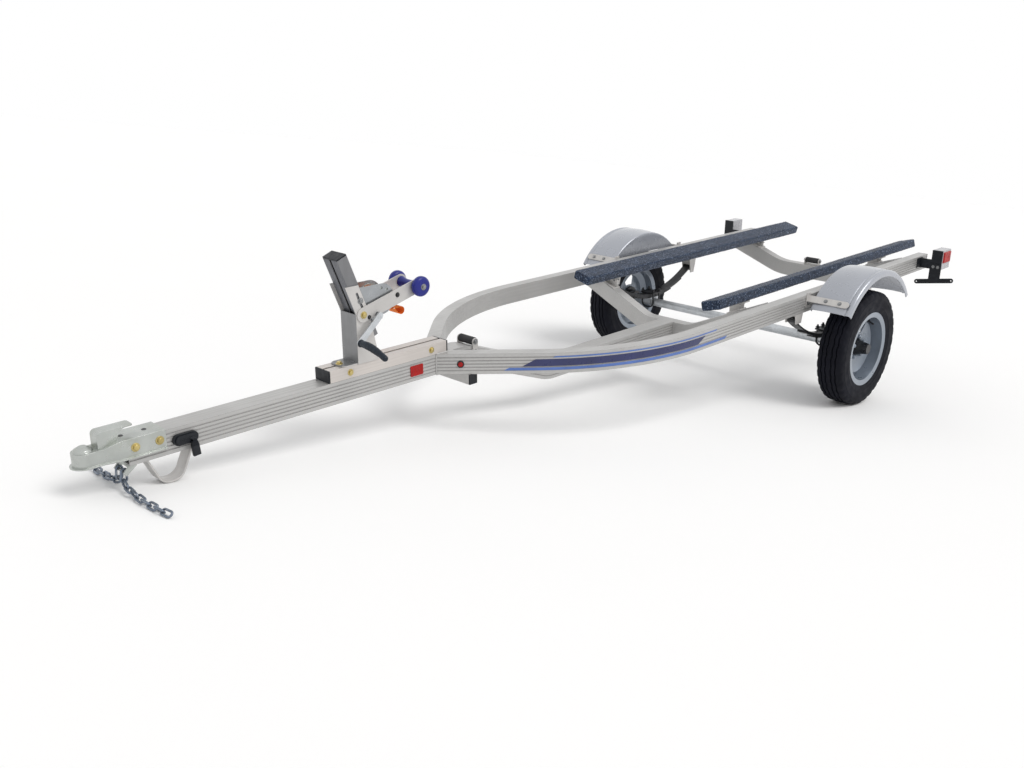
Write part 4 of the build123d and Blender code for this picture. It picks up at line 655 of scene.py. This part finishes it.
def fender_section():
    """(across, radius) points of the outer skin, from the inner edge to the hem."""
    points = [(560.0, 340.0), (560.0, 352.0)]
    for k in range(1, 7):
        a = radians(180 - 15 * k)
        points.append((568.0 + 8.0 * cos(a), 354.0 + 8.5 * sin(a)))
    for k in range(1, 11):
        t = k / 10
        points.append((568.0 + 146.0 * t, 362.5 + 6.0 * sin(pi * t * 0.80)))
    points += [(718.0, 364.6), (721.0, 362.6), (723.5, 362.4), (726.0, 364.2)]
    for k in range(10):
        a = radians(118 - 118 * k / 9)
        points.append((734.0 + 13.8 * cos(a), 353.0 + 13.8 * sin(a)))
    points.append((747.8, 341.0))
    return points


for side, sign in sides.items():
    outer = fender_section()
    inner = []
    for i, (y, r) in enumerate(outer):
        before = Vector(outer[max(i - 1, 0)])
        after = Vector(outer[min(i + 1, len(outer) - 1)])
        way = (after - before).normalized()
        inner.append((y + way.y * FENDER_SHEET, r - way.x * FENDER_SHEET))
    section = outer + inner[::-1]
    rows = []
    for a in FENDER_ARCH:
        rows.append([(r * cos(a), y * sign, TYRE_R + r * sin(a)) for y, r in section])
    stock = Stock().add(grid(rows, False, True, True))
    hem = [(HEM_R * cos(a), HEM_Y * sign, TYRE_R + HEM_R * sin(a)) for a in FENDER_ARCH]
    stock.add(wire(hem, 2.5, 10))
    skirt_chord = degrees(asin((SKIRT_Z - TYRE_R) / SKIRT_R))
    arch = [radians(skirt_chord + (180 - 2 * skirt_chord) * k / 40) for k in range(41)]
    outline = [(SKIRT_R * cos(a), SKIRT_R * sin(a)) for a in arch]
    skirt = prism(outline, 560.2, 563.0)
    stock.add(([(x, y * sign, TYRE_R + z) for x, z, y in skirt[0]], skirt[1]))
    piece(
        "fender_" + side + "_sheet", stock, "frame", [M["silver_fender"]], 0.5,
        replaced=("fender_" + side,),
    )


# Bunks: carpet drawn round the plank, with pile standing out of it and folded ends
BUNK = {"front": 766.0, "rear": -1161.0, "y": 348.6, "top": 562.0, "tilt": 14.8, "w": 94.0, "t": 44.0}
BUNK_STEPS = 300
TUFTS = 9000


def rounded_box(w, t, r, steps):
    """Outline of a board's section with evenly divided rounded corners."""
    points = []
    x = w / 2 - r
    y = t / 2 - r
    for cx, cy, start in ((x, y, 0), (-x, y, 90), (-x, -y, 180), (x, -y, 270)):
        for k in range(steps + 1):
            a = radians(start + 90 * k / steps)
            points.append((cx + r * cos(a), cy + r * sin(a)))
    full = []
    for i, p in enumerate(points):
        q = points[(i + 1) % len(points)]
        gap = hypot(q[0] - p[0], q[1] - p[1])
        parts = max(1, round(gap / 7.0))
        full += [(p[0] + (q[0] - p[0]) * k / parts, p[1] + (q[1] - p[1]) * k / parts) for k in range(parts)]
    return full


chance = random.Random(11)
for side, sign in sides.items():
    lean = radians(BUNK["tilt"])
    across = Vector((0, cos(lean), sin(lean)))
    normal = Vector((0, -sin(lean), cos(lean)))
    heart = Vector((0, BUNK["y"], BUNK["top"])) - normal * (BUNK["t"] / 2)
    section = rounded_box(BUNK["w"] - 2.0, BUNK["t"] - 2.0, 8.0, 4)
    half_w = BUNK["w"] / 2
    half_t = BUNK["t"] / 2
    rows = []
    length = BUNK["front"] - BUNK["rear"]
    ends = [0.0, 0.6, 2.0, 5.0]
    runs = [BUNK["rear"] + 1 + e for e in ends]
    runs += [BUNK["rear"] + 8 + (length - 16) * k / BUNK_STEPS for k in range(BUNK_STEPS + 1)]
    runs += [BUNK["front"] - 1 - e for e in ends[::-1]]
    pulls = [6.0, 3.4, 1.6, 0.4] + [0.0] * (BUNK_STEPS + 1) + [0.4, 1.6, 3.4, 6.0]
    for x, pull in zip(runs, pulls):
        row = []
        for a, b in section:
            shrink = 1.0 - pull / half_t if b else 1.0
            p = heart + across * (a * (1 - pull / half_w)) + normal * (b * shrink)
            p.x = x
            lump = noise.noise(Vector((x * 0.012, a * 0.03, b * 0.05 + sign))) * 0.9
            fuzz = noise.noise(Vector((x * 0.31, a * 0.33, b * 0.37 + 7 * sign))) * 0.7
            out = (across * (a / half_w) + normal * (b / half_t)).normalized()
            p += out * (lump + fuzz)
            p.y *= sign
            row.append(p)
        rows.append(row)
    stock = Stock().add(grid(rows, False, True, True))
    for k in range(TUFTS):
        i = 3 + int(chance.random() * (len(rows) - 7))
        j = int(chance.random() * len(section))
        p = Vector(rows[i][j]).lerp(Vector(rows[i + 1][(j + 1) % len(section)]), chance.random())
        a, b = section[j]
        out = across * (a / half_w) ** 3 + normal * (b / half_t) ** 3
        out = Vector((0, out.y * sign, out.z))
        out += Vector((chance.uniform(-0.8, 0.8), chance.uniform(-0.6, 0.6), chance.uniform(-0.4, 0.6)))
        out.normalize()
        flank = Vector((chance.uniform(-1, 1), chance.uniform(-1, 1), chance.uniform(-1, 1)))
        flank = flank.normalized() * 0.6
        tip = p + out * chance.uniform(1.6, 3.4)
        stock.add(([p - flank, p + flank, tip], [(0, 1, 2)]))
    name = "bunk_" + side
    piece(name + "_carpet", stock, "frame", [M["bunk_carpet"]], replaced=(name,))


# Safety chains: a smooth round-wire link in the place of each plain one
def link_shape():
    """A welded link of 7 mm wire, 46 mm long and 24 mm wide."""
    points = []
    for centre, start in ((11.0, -90), (-11.0, 90)):
        for k in range(13):
            a = radians(start + 180 * k / 12)
            points.append((centre + 8.5 * cos(a), 8.5 * sin(a), 0))
    return wire(points, 3.5, 12, True)


def islands(mesh):
    """The separate solids of a mesh, each as an array of its corners."""
    bm = bmesh.new()
    bm.from_mesh(mesh)
    bmesh.ops.remove_doubles(bm, verts=bm.verts, dist=WELD)
    bm.verts.ensure_lookup_table()
    seen = set()
    found = []
    for vert in bm.verts:
        if vert.index in seen:
            continue
        group = []
        heap = [vert]
        seen.add(vert.index)
        while heap:
            here = heap.pop()
            group.append(tuple(here.co))
            for edge in here.link_edges:
                other = edge.other_vert(here)
                if other.index not in seen:
                    seen.add(other.index)
                    heap.append(other)
        found.append(np.array(group))
    bm.free()
    return found


for side in sides:
    stock = Stock()
    for corners in islands(nodes["safety_chain_" + side].data):
        centre = corners.mean(0)
        ways = np.linalg.eigh(np.cov((corners - centre).T))[1]
        along = Vector(ways[:, 2])
        flat = Vector(ways[:, 0])
        turn = Matrix((along, flat.cross(along), flat)).transposed().to_4x4()
        stock.add(link_shape(), Matrix.Translation(centre) @ turn @ Matrix.Scale(0.001, 4))
    piece(
        "safety_chain_" + side + "_links", stock, "frame", [M["chain_steel"]],
        level=False, replaced=("safety_chain_" + side,),
    )


# Bow roller and the bolt through it
BOW = (2092.0, 797.0)


def bulb(near, far, radius, hub):
    """Profile of one roller bulb between two places along its pin."""
    middle = (near + far) / 2
    half = (far - near) / 2
    points = [(hub, near)]
    for k in range(17):
        a = radians(-90 + 180 * k / 16)
        y = middle + half * (abs(sin(a)) ** 0.8) * (1 if a > 0 else -1)
        points.append((hub + (radius - hub) * abs(cos(a)) ** 0.62, y))
    points.append((hub, far))
    return points


stock = Stock()
for sign in sides.values():
    place = at(BOW[0], 0, BOW[1], (0, sign, 0))
    stock.add(lathe(bulb(46.6, 77.4, 35.0, 9.0), 48), place)
    waist = [(6, 0), (13.0, 0.0), (13.2, 12), (14.6, 24), (17.6, 34), (18.8, 38), (18.8, 40.6), (17.6, 41.4)]
    waist.append((6, 41.4))
    stock.add(lathe(waist, 40), place)
blue = [M["blue_polymer"]]
piece("bow_roller_moulded", stock, "bow_roller", blue, replaced=("bow_roller",))
stock = Stock()
for sign in sides.values():
    stock.add(lathe([(6, 40), (6, 48)], 16), at(BOW[0], 0, BOW[1], (0, sign, 0)))
    stock.add(bolt(7.5, True, sign < 0), at(BOW[0], 77.0 * sign, BOW[1], (0, sign, 0), 12))
piece("bow_roller_bolt", stock, "bow_roller", [BOLT])


# Winch strap: wound webbing with a loose end
DRUM = (2238.0, 774.0)
stock = Stock()
rows = []
STRAP_TURNS = 5.2
STRAP_IN_R = 20.6
STRAP_OUT_R = 33.4
for k in range(int(STRAP_TURNS * 40) + 1):
    a = 2 * pi * k / 40
    r = STRAP_IN_R + (STRAP_OUT_R - STRAP_IN_R) * k / (STRAP_TURNS * 40)
    sway = 0.5 * sin(a * 0.37)
    row = []
    for y, lift in ((-28.3, 0.0), (-28.3, 2.0), (-27.0, 2.3), (24.6, 2.3), (25.4, 2.0), (25.4, 0.0)):
        rr = min(33.9, r + lift)
        row.append((DRUM[0] + rr * cos(a), y + sway * (0.3 if abs(y) > 26 else 0.1), DRUM[1] + rr * sin(a)))
    rows.append(row)
stock.add(grid(rows, False, True, True))
orange = [M["orange_webbing"], M["black_plastic"]]
piece("winch_strap_wound", stock, "winch_drum", orange, replaced=("winch_strap",))

stock = Stock()
line = [(2238, 738.2), (2222, 737.4), (2200, 734.5), (2180, 731.5), (2163, 729.8)]
EYE = (2148, 717)
EYE_R = 12.5
for k in range(9):
    a = radians(80 + 25 * k)
    line.append((EYE[0] + EYE_R * cos(a), EYE[1] + EYE_R * sin(a)))
line += [(2160, 709.0), (2170, 720.0), (2178, 727.4), (2190, 730.4)]
rows = []
for i, (x, z) in enumerate(line):
    ahead = Vector(line[min(i + 1, len(line) - 1)])
    behind = Vector(line[max(i - 1, 0)])
    way = (ahead - behind).normalized()
    row = []
    for y, lift in ((-24.0, 1.1), (24.0, 1.1), (24.8, 0.0), (24.0, -1.1), (-24.0, -1.1), (-24.8, 0.0)):
        row.append((x - way.y * lift, y, z + way.x * lift))
    rows.append(row)
stock.add(grid(rows, False, True, True))
for k in range(9):
    y = -20.0 + 5.0 * k
    for x, z in ((2182, 732.9), (2190, 734.1)):
        stitch = [(x - 1.6, y, z - 0.7), (x, y + 0.6, z + 0.4), (x + 1.6, y, z + 0.6)]
        stock.add(wire(stitch, 0.5, 6), None, 1)
piece("winch_strap_end", stock, "frame", orange)


# Crank grip: a moulded handle that follows its plain rod
CRANK_TIP = (2351.2, 651.0)
GRIP_R = 13.0
GRIP_Y = (62.0, 194.5)
GRIP_DROOP = 27.0
GRIP_STEPS = 36
stock = Stock()
path = []
sizes = []
for k in range(GRIP_STEPS + 1):
    t = k / GRIP_STEPS
    y = GRIP_Y[0] + (GRIP_Y[1] - GRIP_Y[0]) * t
    drop = GRIP_DROOP * max(0.0, (t - 0.18) / 0.82) ** 1.7
    path.append((CRANK_TIP[0], y, CRANK_TIP[1] - drop))
    swell = 0.80 + 0.20 * sin(pi * min(1.0, t * 1.25)) - 0.05 * (k % 4 == 0) * (0.25 < t < 0.85)
    if t < 0.05:
        swell = 1.0
    if t > 0.94:
        swell *= 1.0 - ((t - 0.94) / 0.06) ** 2 * 0.55
    sizes.append(swell)
stock.add(wire(path, GRIP_R, 20, False, sizes))
piece("crank_grip_moulded", stock, "winch_crank", [SLATE], replaced=("crank_grip",))


# Lamp lenses with flutes, round markers and reflectors
def fluted(width, height, depth, flutes, place):
    """A moulded pane: flutes across its face inside a plain border."""
    rows = []
    count = flutes * 6
    levels = [0.0, 0.02, 0.06, 0.09, 0.5, 0.91, 0.94, 0.98, 1.0]
    outs = [0.0, 0.75, 0.92, 0.86, 0.86, 0.86, 0.92, 0.75, 0.0]
    for i in range(count + 1):
        u = i / count
        edge = min(u, 1 - u) / 0.05
        row = []
        for v, out in zip(levels, outs):
            rise = min(1.0, edge) * out
            if 0.08 < v < 0.92 and edge > 1.6:
                rise += 0.14 * abs(sin(pi * u * flutes)) - 0.02
            row.append(((u - 0.5) * width, (v - 0.5) * height, depth * min(1.0, rise)))
        rows.append(row)
    shape = grid(rows)
    back = [((u - 0.5) * width, (v - 0.5) * height, 0.0) for u, v in ((0, 0), (1, 0), (1, 1), (0, 1))]
    verts = [place @ Vector(p) for p in shape[0]] + [place @ Vector(p) for p in back]
    n = len(shape[0])
    return verts, shape[1] + [(n, n + 3, n + 2, n + 1)]


def facing(x, y, z, across, up):
    """A place with its own X across and Y up."""
    a = Vector(across)
    b = Vector(up)
    turn = Matrix((a, b, a.cross(b))).transposed().to_4x4()
    return Matrix.Translation((x, y, z)) @ turn


stock = Stock()
for sign in sides.values():
    stock.add(fluted(85.0, 56.0, 7.0, 9, facing(-960.5, 651.0 * sign, 540.0, (-sign, 0, 0), (0, 0, 1))))
    stock.add(fluted(45.0, 81.0, 7.0, 5, facing(-1012.0, 624.0 * sign, 527.5, (0, -1, 0), (0, 0, 1))))
piece("tail_lenses_fluted", stock, "frame", [M["red_lens"]], replaced=("tail_lenses",))

MARKER_ALONG = 86.0
stock = Stock()
for sign in sides.values():
    aside = TUBE_HALF + MARKER_ALONG * sin(RAIL_SLOPE)
    spot = (JOINT_X - MARKER_ALONG * cos(RAIL_SLOPE), sign * aside, FRAME_Z)
    place = at(*spot, (sin(RAIL_SLOPE), sign * cos(RAIL_SLOPE), 0))
    stock.add(lathe([(0, 6), (4, 5.8), (7.5, 4.9), (9.2, 3.6), (9.4, 2.4)], 32), place, 0)
    grommet = [(9.2, 1.5), (9.4, 4.0), (11.0, 4.8), (12.6, 3.8), (13, 2.2), (13, 0), (9, 0)]
    stock.add(lathe(grommet, 32, True), place, 1)
piece(
    "side_markers_moulded", stock, "frame", [M["red_lens"], M["black_rubber"]],
    replaced=("side_markers",),
)

REFLECTOR_X = 2100.0
PRISM_PITCH = 4.6
stock = Stock()
for sign in sides.values():
    outline = rounded_box(56.0, 38.0, 3.0, 4)
    place = facing(REFLECTOR_X, TUBE_HALF * sign, FRAME_Z, (-sign, 0, 0), (0, 0, 1))
    stock.add(prism(outline, 0.0, 2.6), place)
    for i in range(11):
        for j in range(7):
            x = (i - 5) * PRISM_PITCH
            y = (j - 3) * PRISM_PITCH
            foot = [(x + a * 2.2, y + b * 2.2, 2.6) for a, b in ((-1, -1), (1, -1), (1, 1), (-1, 1))]
            stock.add((foot + [(x, y, 3.9)], [(0, 1, 4), (1, 2, 4), (2, 3, 4), (3, 0, 4)]), place)
piece("reflectors_faceted", stock, "frame", [M["red_lens"]], replaced=("reflectors",))


# Wiring plug in its holder
HOLDER_X = 2973.0
HOLDER_R = 17.0
HOLDER_REACH = 22.0
stock = Stock()
slot_line = []
for end, start in ((1, -90), (-1, 90)):
    for a in range(start, start + 181, 15):
        slot_line.append((HOLDER_REACH * end + HOLDER_R * cos(radians(a)), HOLDER_R * sin(radians(a))))
place = facing(HOLDER_X, TUBE_HALF, FRAME_Z, (-1, 0, 0), (0, 0, 1))
stock.add(prism(slot_line, 0.0, 11.0), place)
stock.add(prism([(x * 0.86, y * 0.78) for x, y in slot_line], 10.5, 16.0), place)
socket = [(2.0, 16), (4.6, 16), (4.6, 18.5), (3.6, 19.2), (2.0, 19.2)]
for k in range(4):
    stock.add(lathe(socket, 16, True), place @ Matrix.Translation(((k - 1.5) * 11.0, 0, -2.4)))
black = [M["black_plastic"]]
piece("plug_holder_moulded", stock, "frame", black, 0.7, replaced=("plug_holder",))
stock = Stock()
place = Matrix.Translation((2951.0, 60.6, 442.0)) @ Matrix.Rotation(0.10, 4, "Y")
stock.add(prism(rounded_box(23.5, 12.5, 3.0, 3), 0, 30), place)
for k in range(5):
    rib = rounded_box(24.0 - k * 1.2, 13.0 - k * 0.8, 3.0, 3)
    stock.add(prism(rib, 30 + k * 3.2, 32 + k * 3.2), place)
for k in range(4):
    off = (k - 1.5) * 3.2
    lead = [
        (2953 + off, 60.6, 472), (2952 + off, 60.8, 482), (2953 + off, 60, 491),
        (2957 + off, 58, 496), (2962 + off, 54.5, 496.5),
    ]
    stock.add(wire(lead, 1.5, 8))
piece("wiring_plug_moulded", stock, "frame", black, replaced=("wiring_plug",))


# U-bolts round the axle and their nuts
U_HALF = 34.0
U_TOP = 338.0
U_LOW = 258.0
U_BOW = 18.0
stock = Stock()
for sign in sides.values():
    for x in (-26.0, 26.0):
        middle = sign * SPRING_Y
        loop = [(x, middle - U_HALF, U_TOP), (x, middle - U_HALF, U_LOW)]
        for k in range(1, 12):
            a = pi + pi * k / 12
            loop.append((x, middle + U_HALF * cos(a), U_LOW + U_BOW * sin(a)))
        loop += [(x, middle + U_HALF, U_LOW), (x, middle + U_HALF, U_TOP)]
        stock.add(wire(loop, 4.5, 10))
        for y in (-U_HALF, U_HALF):
            stock.add(bolt(7.5, True, True), at(x, middle + y, 324.5))
piece("spring_u_bolts", stock, "frame", [M["black_steel"]])


# Fasteners: place, way it faces, size and which finish
BOLTS = []
for sign in sides.values():
    BOLTS += [
        ((3120, 43.3 * sign, 510), (0, sign, 0), 9.0, 1),
        ((3049, 43.3 * sign, 510), (0, sign, 0), 9.0, 1),
        ((2322, 46 * sign, 737), (0, sign, 0), 8.5, 1),
        ((2300, 46 * sign, 726), (0, sign, 0), 5.0, 2),
        ((2180, 46 * sign, 780), (0, sign, 0), 6.0, 2),
        ((2380, 38 * sign, 553), (0, sign, 0), 8.0, 1),
        ((2030, 38 * sign, 553), (0, sign, 0), 8.0, 1),
        ((2330, 42 * sign, 785), (0, sign, 0), 7.5, 0),
        ((-930, 539 * sign, 490), (0, sign, 0), 6.0, 2),
        ((-888, 539 * sign, 490), (0, sign, 0), 6.0, 2),
        ((1822, 43 * sign, 541), (0, sign, 0), 7.5, 0),
        ((1822, 43 * sign, 505), (0, sign, 0), 5.5, 0),
        ((-785, 43 * sign, 449), (0, sign, 0), 7.5, 0),
    ]
    lean = radians(BUNK["tilt"])
    for x in MEMBER_X:
        for dx in (-15.0, 15.0):
            for reach in (-26.0, 26.0):
                base = (x + dx, (BUNK["y"] + reach * cos(lean)) * sign, 510.5 + reach * sin(lean))
                BOLTS.append((base, (0, sign * sin(lean), -cos(lean)), 5.5, 0))
    for end in (1, -1):
        rise = radians(43.0)
        out = Vector((end * cos(rise), 0, sin(rise)))
        for y in (622.0, 686.0):
            base = Vector((0, y * sign, TYRE_R)) + out * 374.3
            BOLTS.append((base, out, 6.5, 0))
        BOLTS.append(((end * 269.9, 540 * sign, 497), (0, sign, 0), 6.5, 0))
BOLTS += [
    ((2396, 0, 578), (0, 0, 1), 8.5, 1),
    ((2280, 22, 578), (0, 0, 1), 7.0, 1),
    ((2280, -22, 578), (0, 0, 1), 7.0, 1),
    ((-901, 612, 492), (1, 0, 0), 5.5, 0),
    ((-901, 636, 492), (1, 0, 0), 5.5, 0),
]
stock = Stock()
for spot, way, size, paint in BOLTS:
    stock.add(bolt(size), at(*spot, way, 17), paint)
for x in (3072.0, 3140.0):
    eye = [(0, 0.35), (5.0, 0.35), (5.4, 0.9), (6.6, 1.0), (7.4, 0.5), (7.4, 0)]
    stock.add(lathe(eye, 24), at(x, 0, 538.0), 2)
piece("fasteners", stock, "frame", [BOLT, GOLD, M["black_steel"]])


# Weld beads where the tubes meet
SEAM_Y = 38.5
stock = Stock()
for sign in sides.values():
    rail_back = JOINT_X - RAIL_W / sin(RAIL_SLOPE)
    for x in (JOINT_X + 1.0, rail_back - 1.0):
        stock.add(bead((x, SEAM_Y * sign, 459), (x, SEAM_Y * sign, 531), 3.0))
    for z in (457.5, 532.5):
        stock.add(bead((JOINT_X, SEAM_Y * sign, z), (rail_back, SEAM_Y * sign, z), 3.0))
    for x in MEMBER_X:
        for dx in (-26.0, 26.0):
            stock.add(bead((x + dx, 483.5 * sign, 462), (x + dx, 483.5 * sign, 528), 2.8))
    for x in (1892.0, 1930.0):
        stock.add(bead((x, SEAM_Y * sign, 456.5), (x, 76 * sign, 456.5), 2.6))
piece("weld_beads", stock, "frame", [M["aluminium_tube"]])


# Rail stripes: plain bands on the lands between the grooves, following the rail's outer face
def rail_outer(distance):
    """Place and outward way on the left rail's outer face, by distance back from the tongue."""
    start = Vector((JOINT_X, TUBE_HALF))
    back = Vector((-cos(RAIL_SLOPE), sin(RAIL_SLOPE)))
    outward = Vector((sin(RAIL_SLOPE), cos(RAIL_SLOPE)))
    straight = (RAIL_OUT_Y - TUBE_HALF) / sin(RAIL_SLOPE) - RAIL_FACE_R * tan(RAIL_SLOPE / 2)
    arc = RAIL_FACE_R * RAIL_SLOPE
    if distance < straight:
        return start + back * distance, outward
    centre = start + back * straight - outward * RAIL_FACE_R
    turned = min(distance - straight, arc) / RAIL_FACE_R
    way = Vector((sin(RAIL_SLOPE - turned), cos(RAIL_SLOPE - turned)))
    spot = centre + way * RAIL_FACE_R
    if distance > straight + arc:
        spot = spot + Vector((-(distance - straight - arc), 0))
    return spot, way


# Level from the tube's middle, half height, start and end along the rail, and which film
STRIPES = ((3.0, 13.0, 330.0, 1080.0, 0), (-20.0, 5.0, 250.0, 1250.0, 1), (24.0, 2.5, 420.0, 1180.0, 1))
STRIPE_STEPS = 60
STRIPE_RAKE = 1.8
FILM = (0.05, 0.9)
stock = Stock()
for sign in sides.values():
    for level, half, start, end, paint in STRIPES:
        rows = []
        for k in range(STRIPE_STEPS + 1):
            row = []
            for up in (-half, half):
                spot, way = rail_outer(start + (end - start) * k / STRIPE_STEPS + up * STRIPE_RAKE)
                for out in FILM:
                    face = spot + way * out
                    row.append((face.x, face.y * sign, FRAME_Z + level + up))
            rows.append([row[0], row[1], row[3], row[2]])
        stock.add(grid(rows, False, True, True), None, paint)
piece("rail_stripes", stock, "frame", [NAVY, SKY])


# Camera, light and floor
CAMERA_AT = Vector((4171, 2529, 1572))
yaw = radians(-135.634)
pitch = radians(19.266)
roll = radians(0.315)
forward = Vector((cos(pitch) * cos(yaw), cos(pitch) * sin(yaw), -sin(pitch)))
right = forward.cross(Vector((0, 0, 1))).normalized()
upward = right.cross(forward)
right, upward = right * cos(roll) + upward * sin(roll), upward * cos(roll) - right * sin(roll)
camera = bpy.data.objects.new("camera", bpy.data.cameras.new("camera"))
bpy.context.scene.collection.objects.link(camera)
camera.data.sensor_width = 36.0
camera.data.lens = 34.257
camera.data.clip_end = 200.0
aim = Matrix((right, upward, -forward)).transposed().to_4x4()
camera.matrix_world = Matrix.Translation(PARK @ CAMERA_AT) @ TURN @ aim
bpy.context.scene.camera = camera
bpy.context.scene.view_settings.view_transform = "Standard"

world = bpy.data.worlds.new("studio")
bpy.context.scene.world = world
world.use_nodes = True
tree = world.node_tree
tree.nodes.clear()
path = add(tree, "ShaderNodeLightPath")
seen = path.outputs["Is Camera Ray"]
for ray in ("Is Glossy Ray", "Is Transmission Ray"):
    seen = add(tree, "ShaderNodeMath", {0: seen, 1: path.outputs[ray]}, operation="MAXIMUM").outputs[0]
soft = add(tree, "ShaderNodeBackground", {"Color": (1.0, 1.0, 1.0, 1.0), "Strength": 0.72})
white = add(tree, "ShaderNodeBackground", {"Color": (1.0, 1.0, 1.0, 1.0), "Strength": 1.0})
both = add(tree, "ShaderNodeMixShader", {0: seen, 1: soft.outputs[0], 2: white.outputs[0]})
add(tree, "ShaderNodeOutputWorld", {"Surface": both.outputs[0]})


def sun(name, way, power, soft_deg, tint):
    light = bpy.data.lights.new(name, "SUN")
    light.energy = power
    light.angle = radians(soft_deg)
    light.color = tint
    obj = bpy.data.objects.new(name, light)
    bpy.context.scene.collection.objects.link(obj)
    obj.location = (0, 0, 6)
    obj.rotation_euler = Vector(way).to_track_quat("-Z", "Y").to_euler()


sun("key_light", (0.22, -0.70, -1.0), 1.22, 30, (1.0, 0.985, 0.97))

floor_stock = grid([[(x, y, -0.0006) for x in np.linspace(-40, 40, 9)] for y in np.linspace(-40, 40, 9)])
floor_mesh = bpy.data.meshes.new("studio_floor")
floor_mesh.from_pydata(floor_stock[0], [], floor_stock[1])
floor = bpy.data.objects.new("studio_floor", floor_mesh)
bpy.context.scene.collection.objects.link(floor)
pale = (0.97, 0.97, 0.97)
floor_mesh.materials.append(surface("studio_floor", pale, 0.0, 0.85, (0.6, 0.004), None, (60.0, 0.0001)))
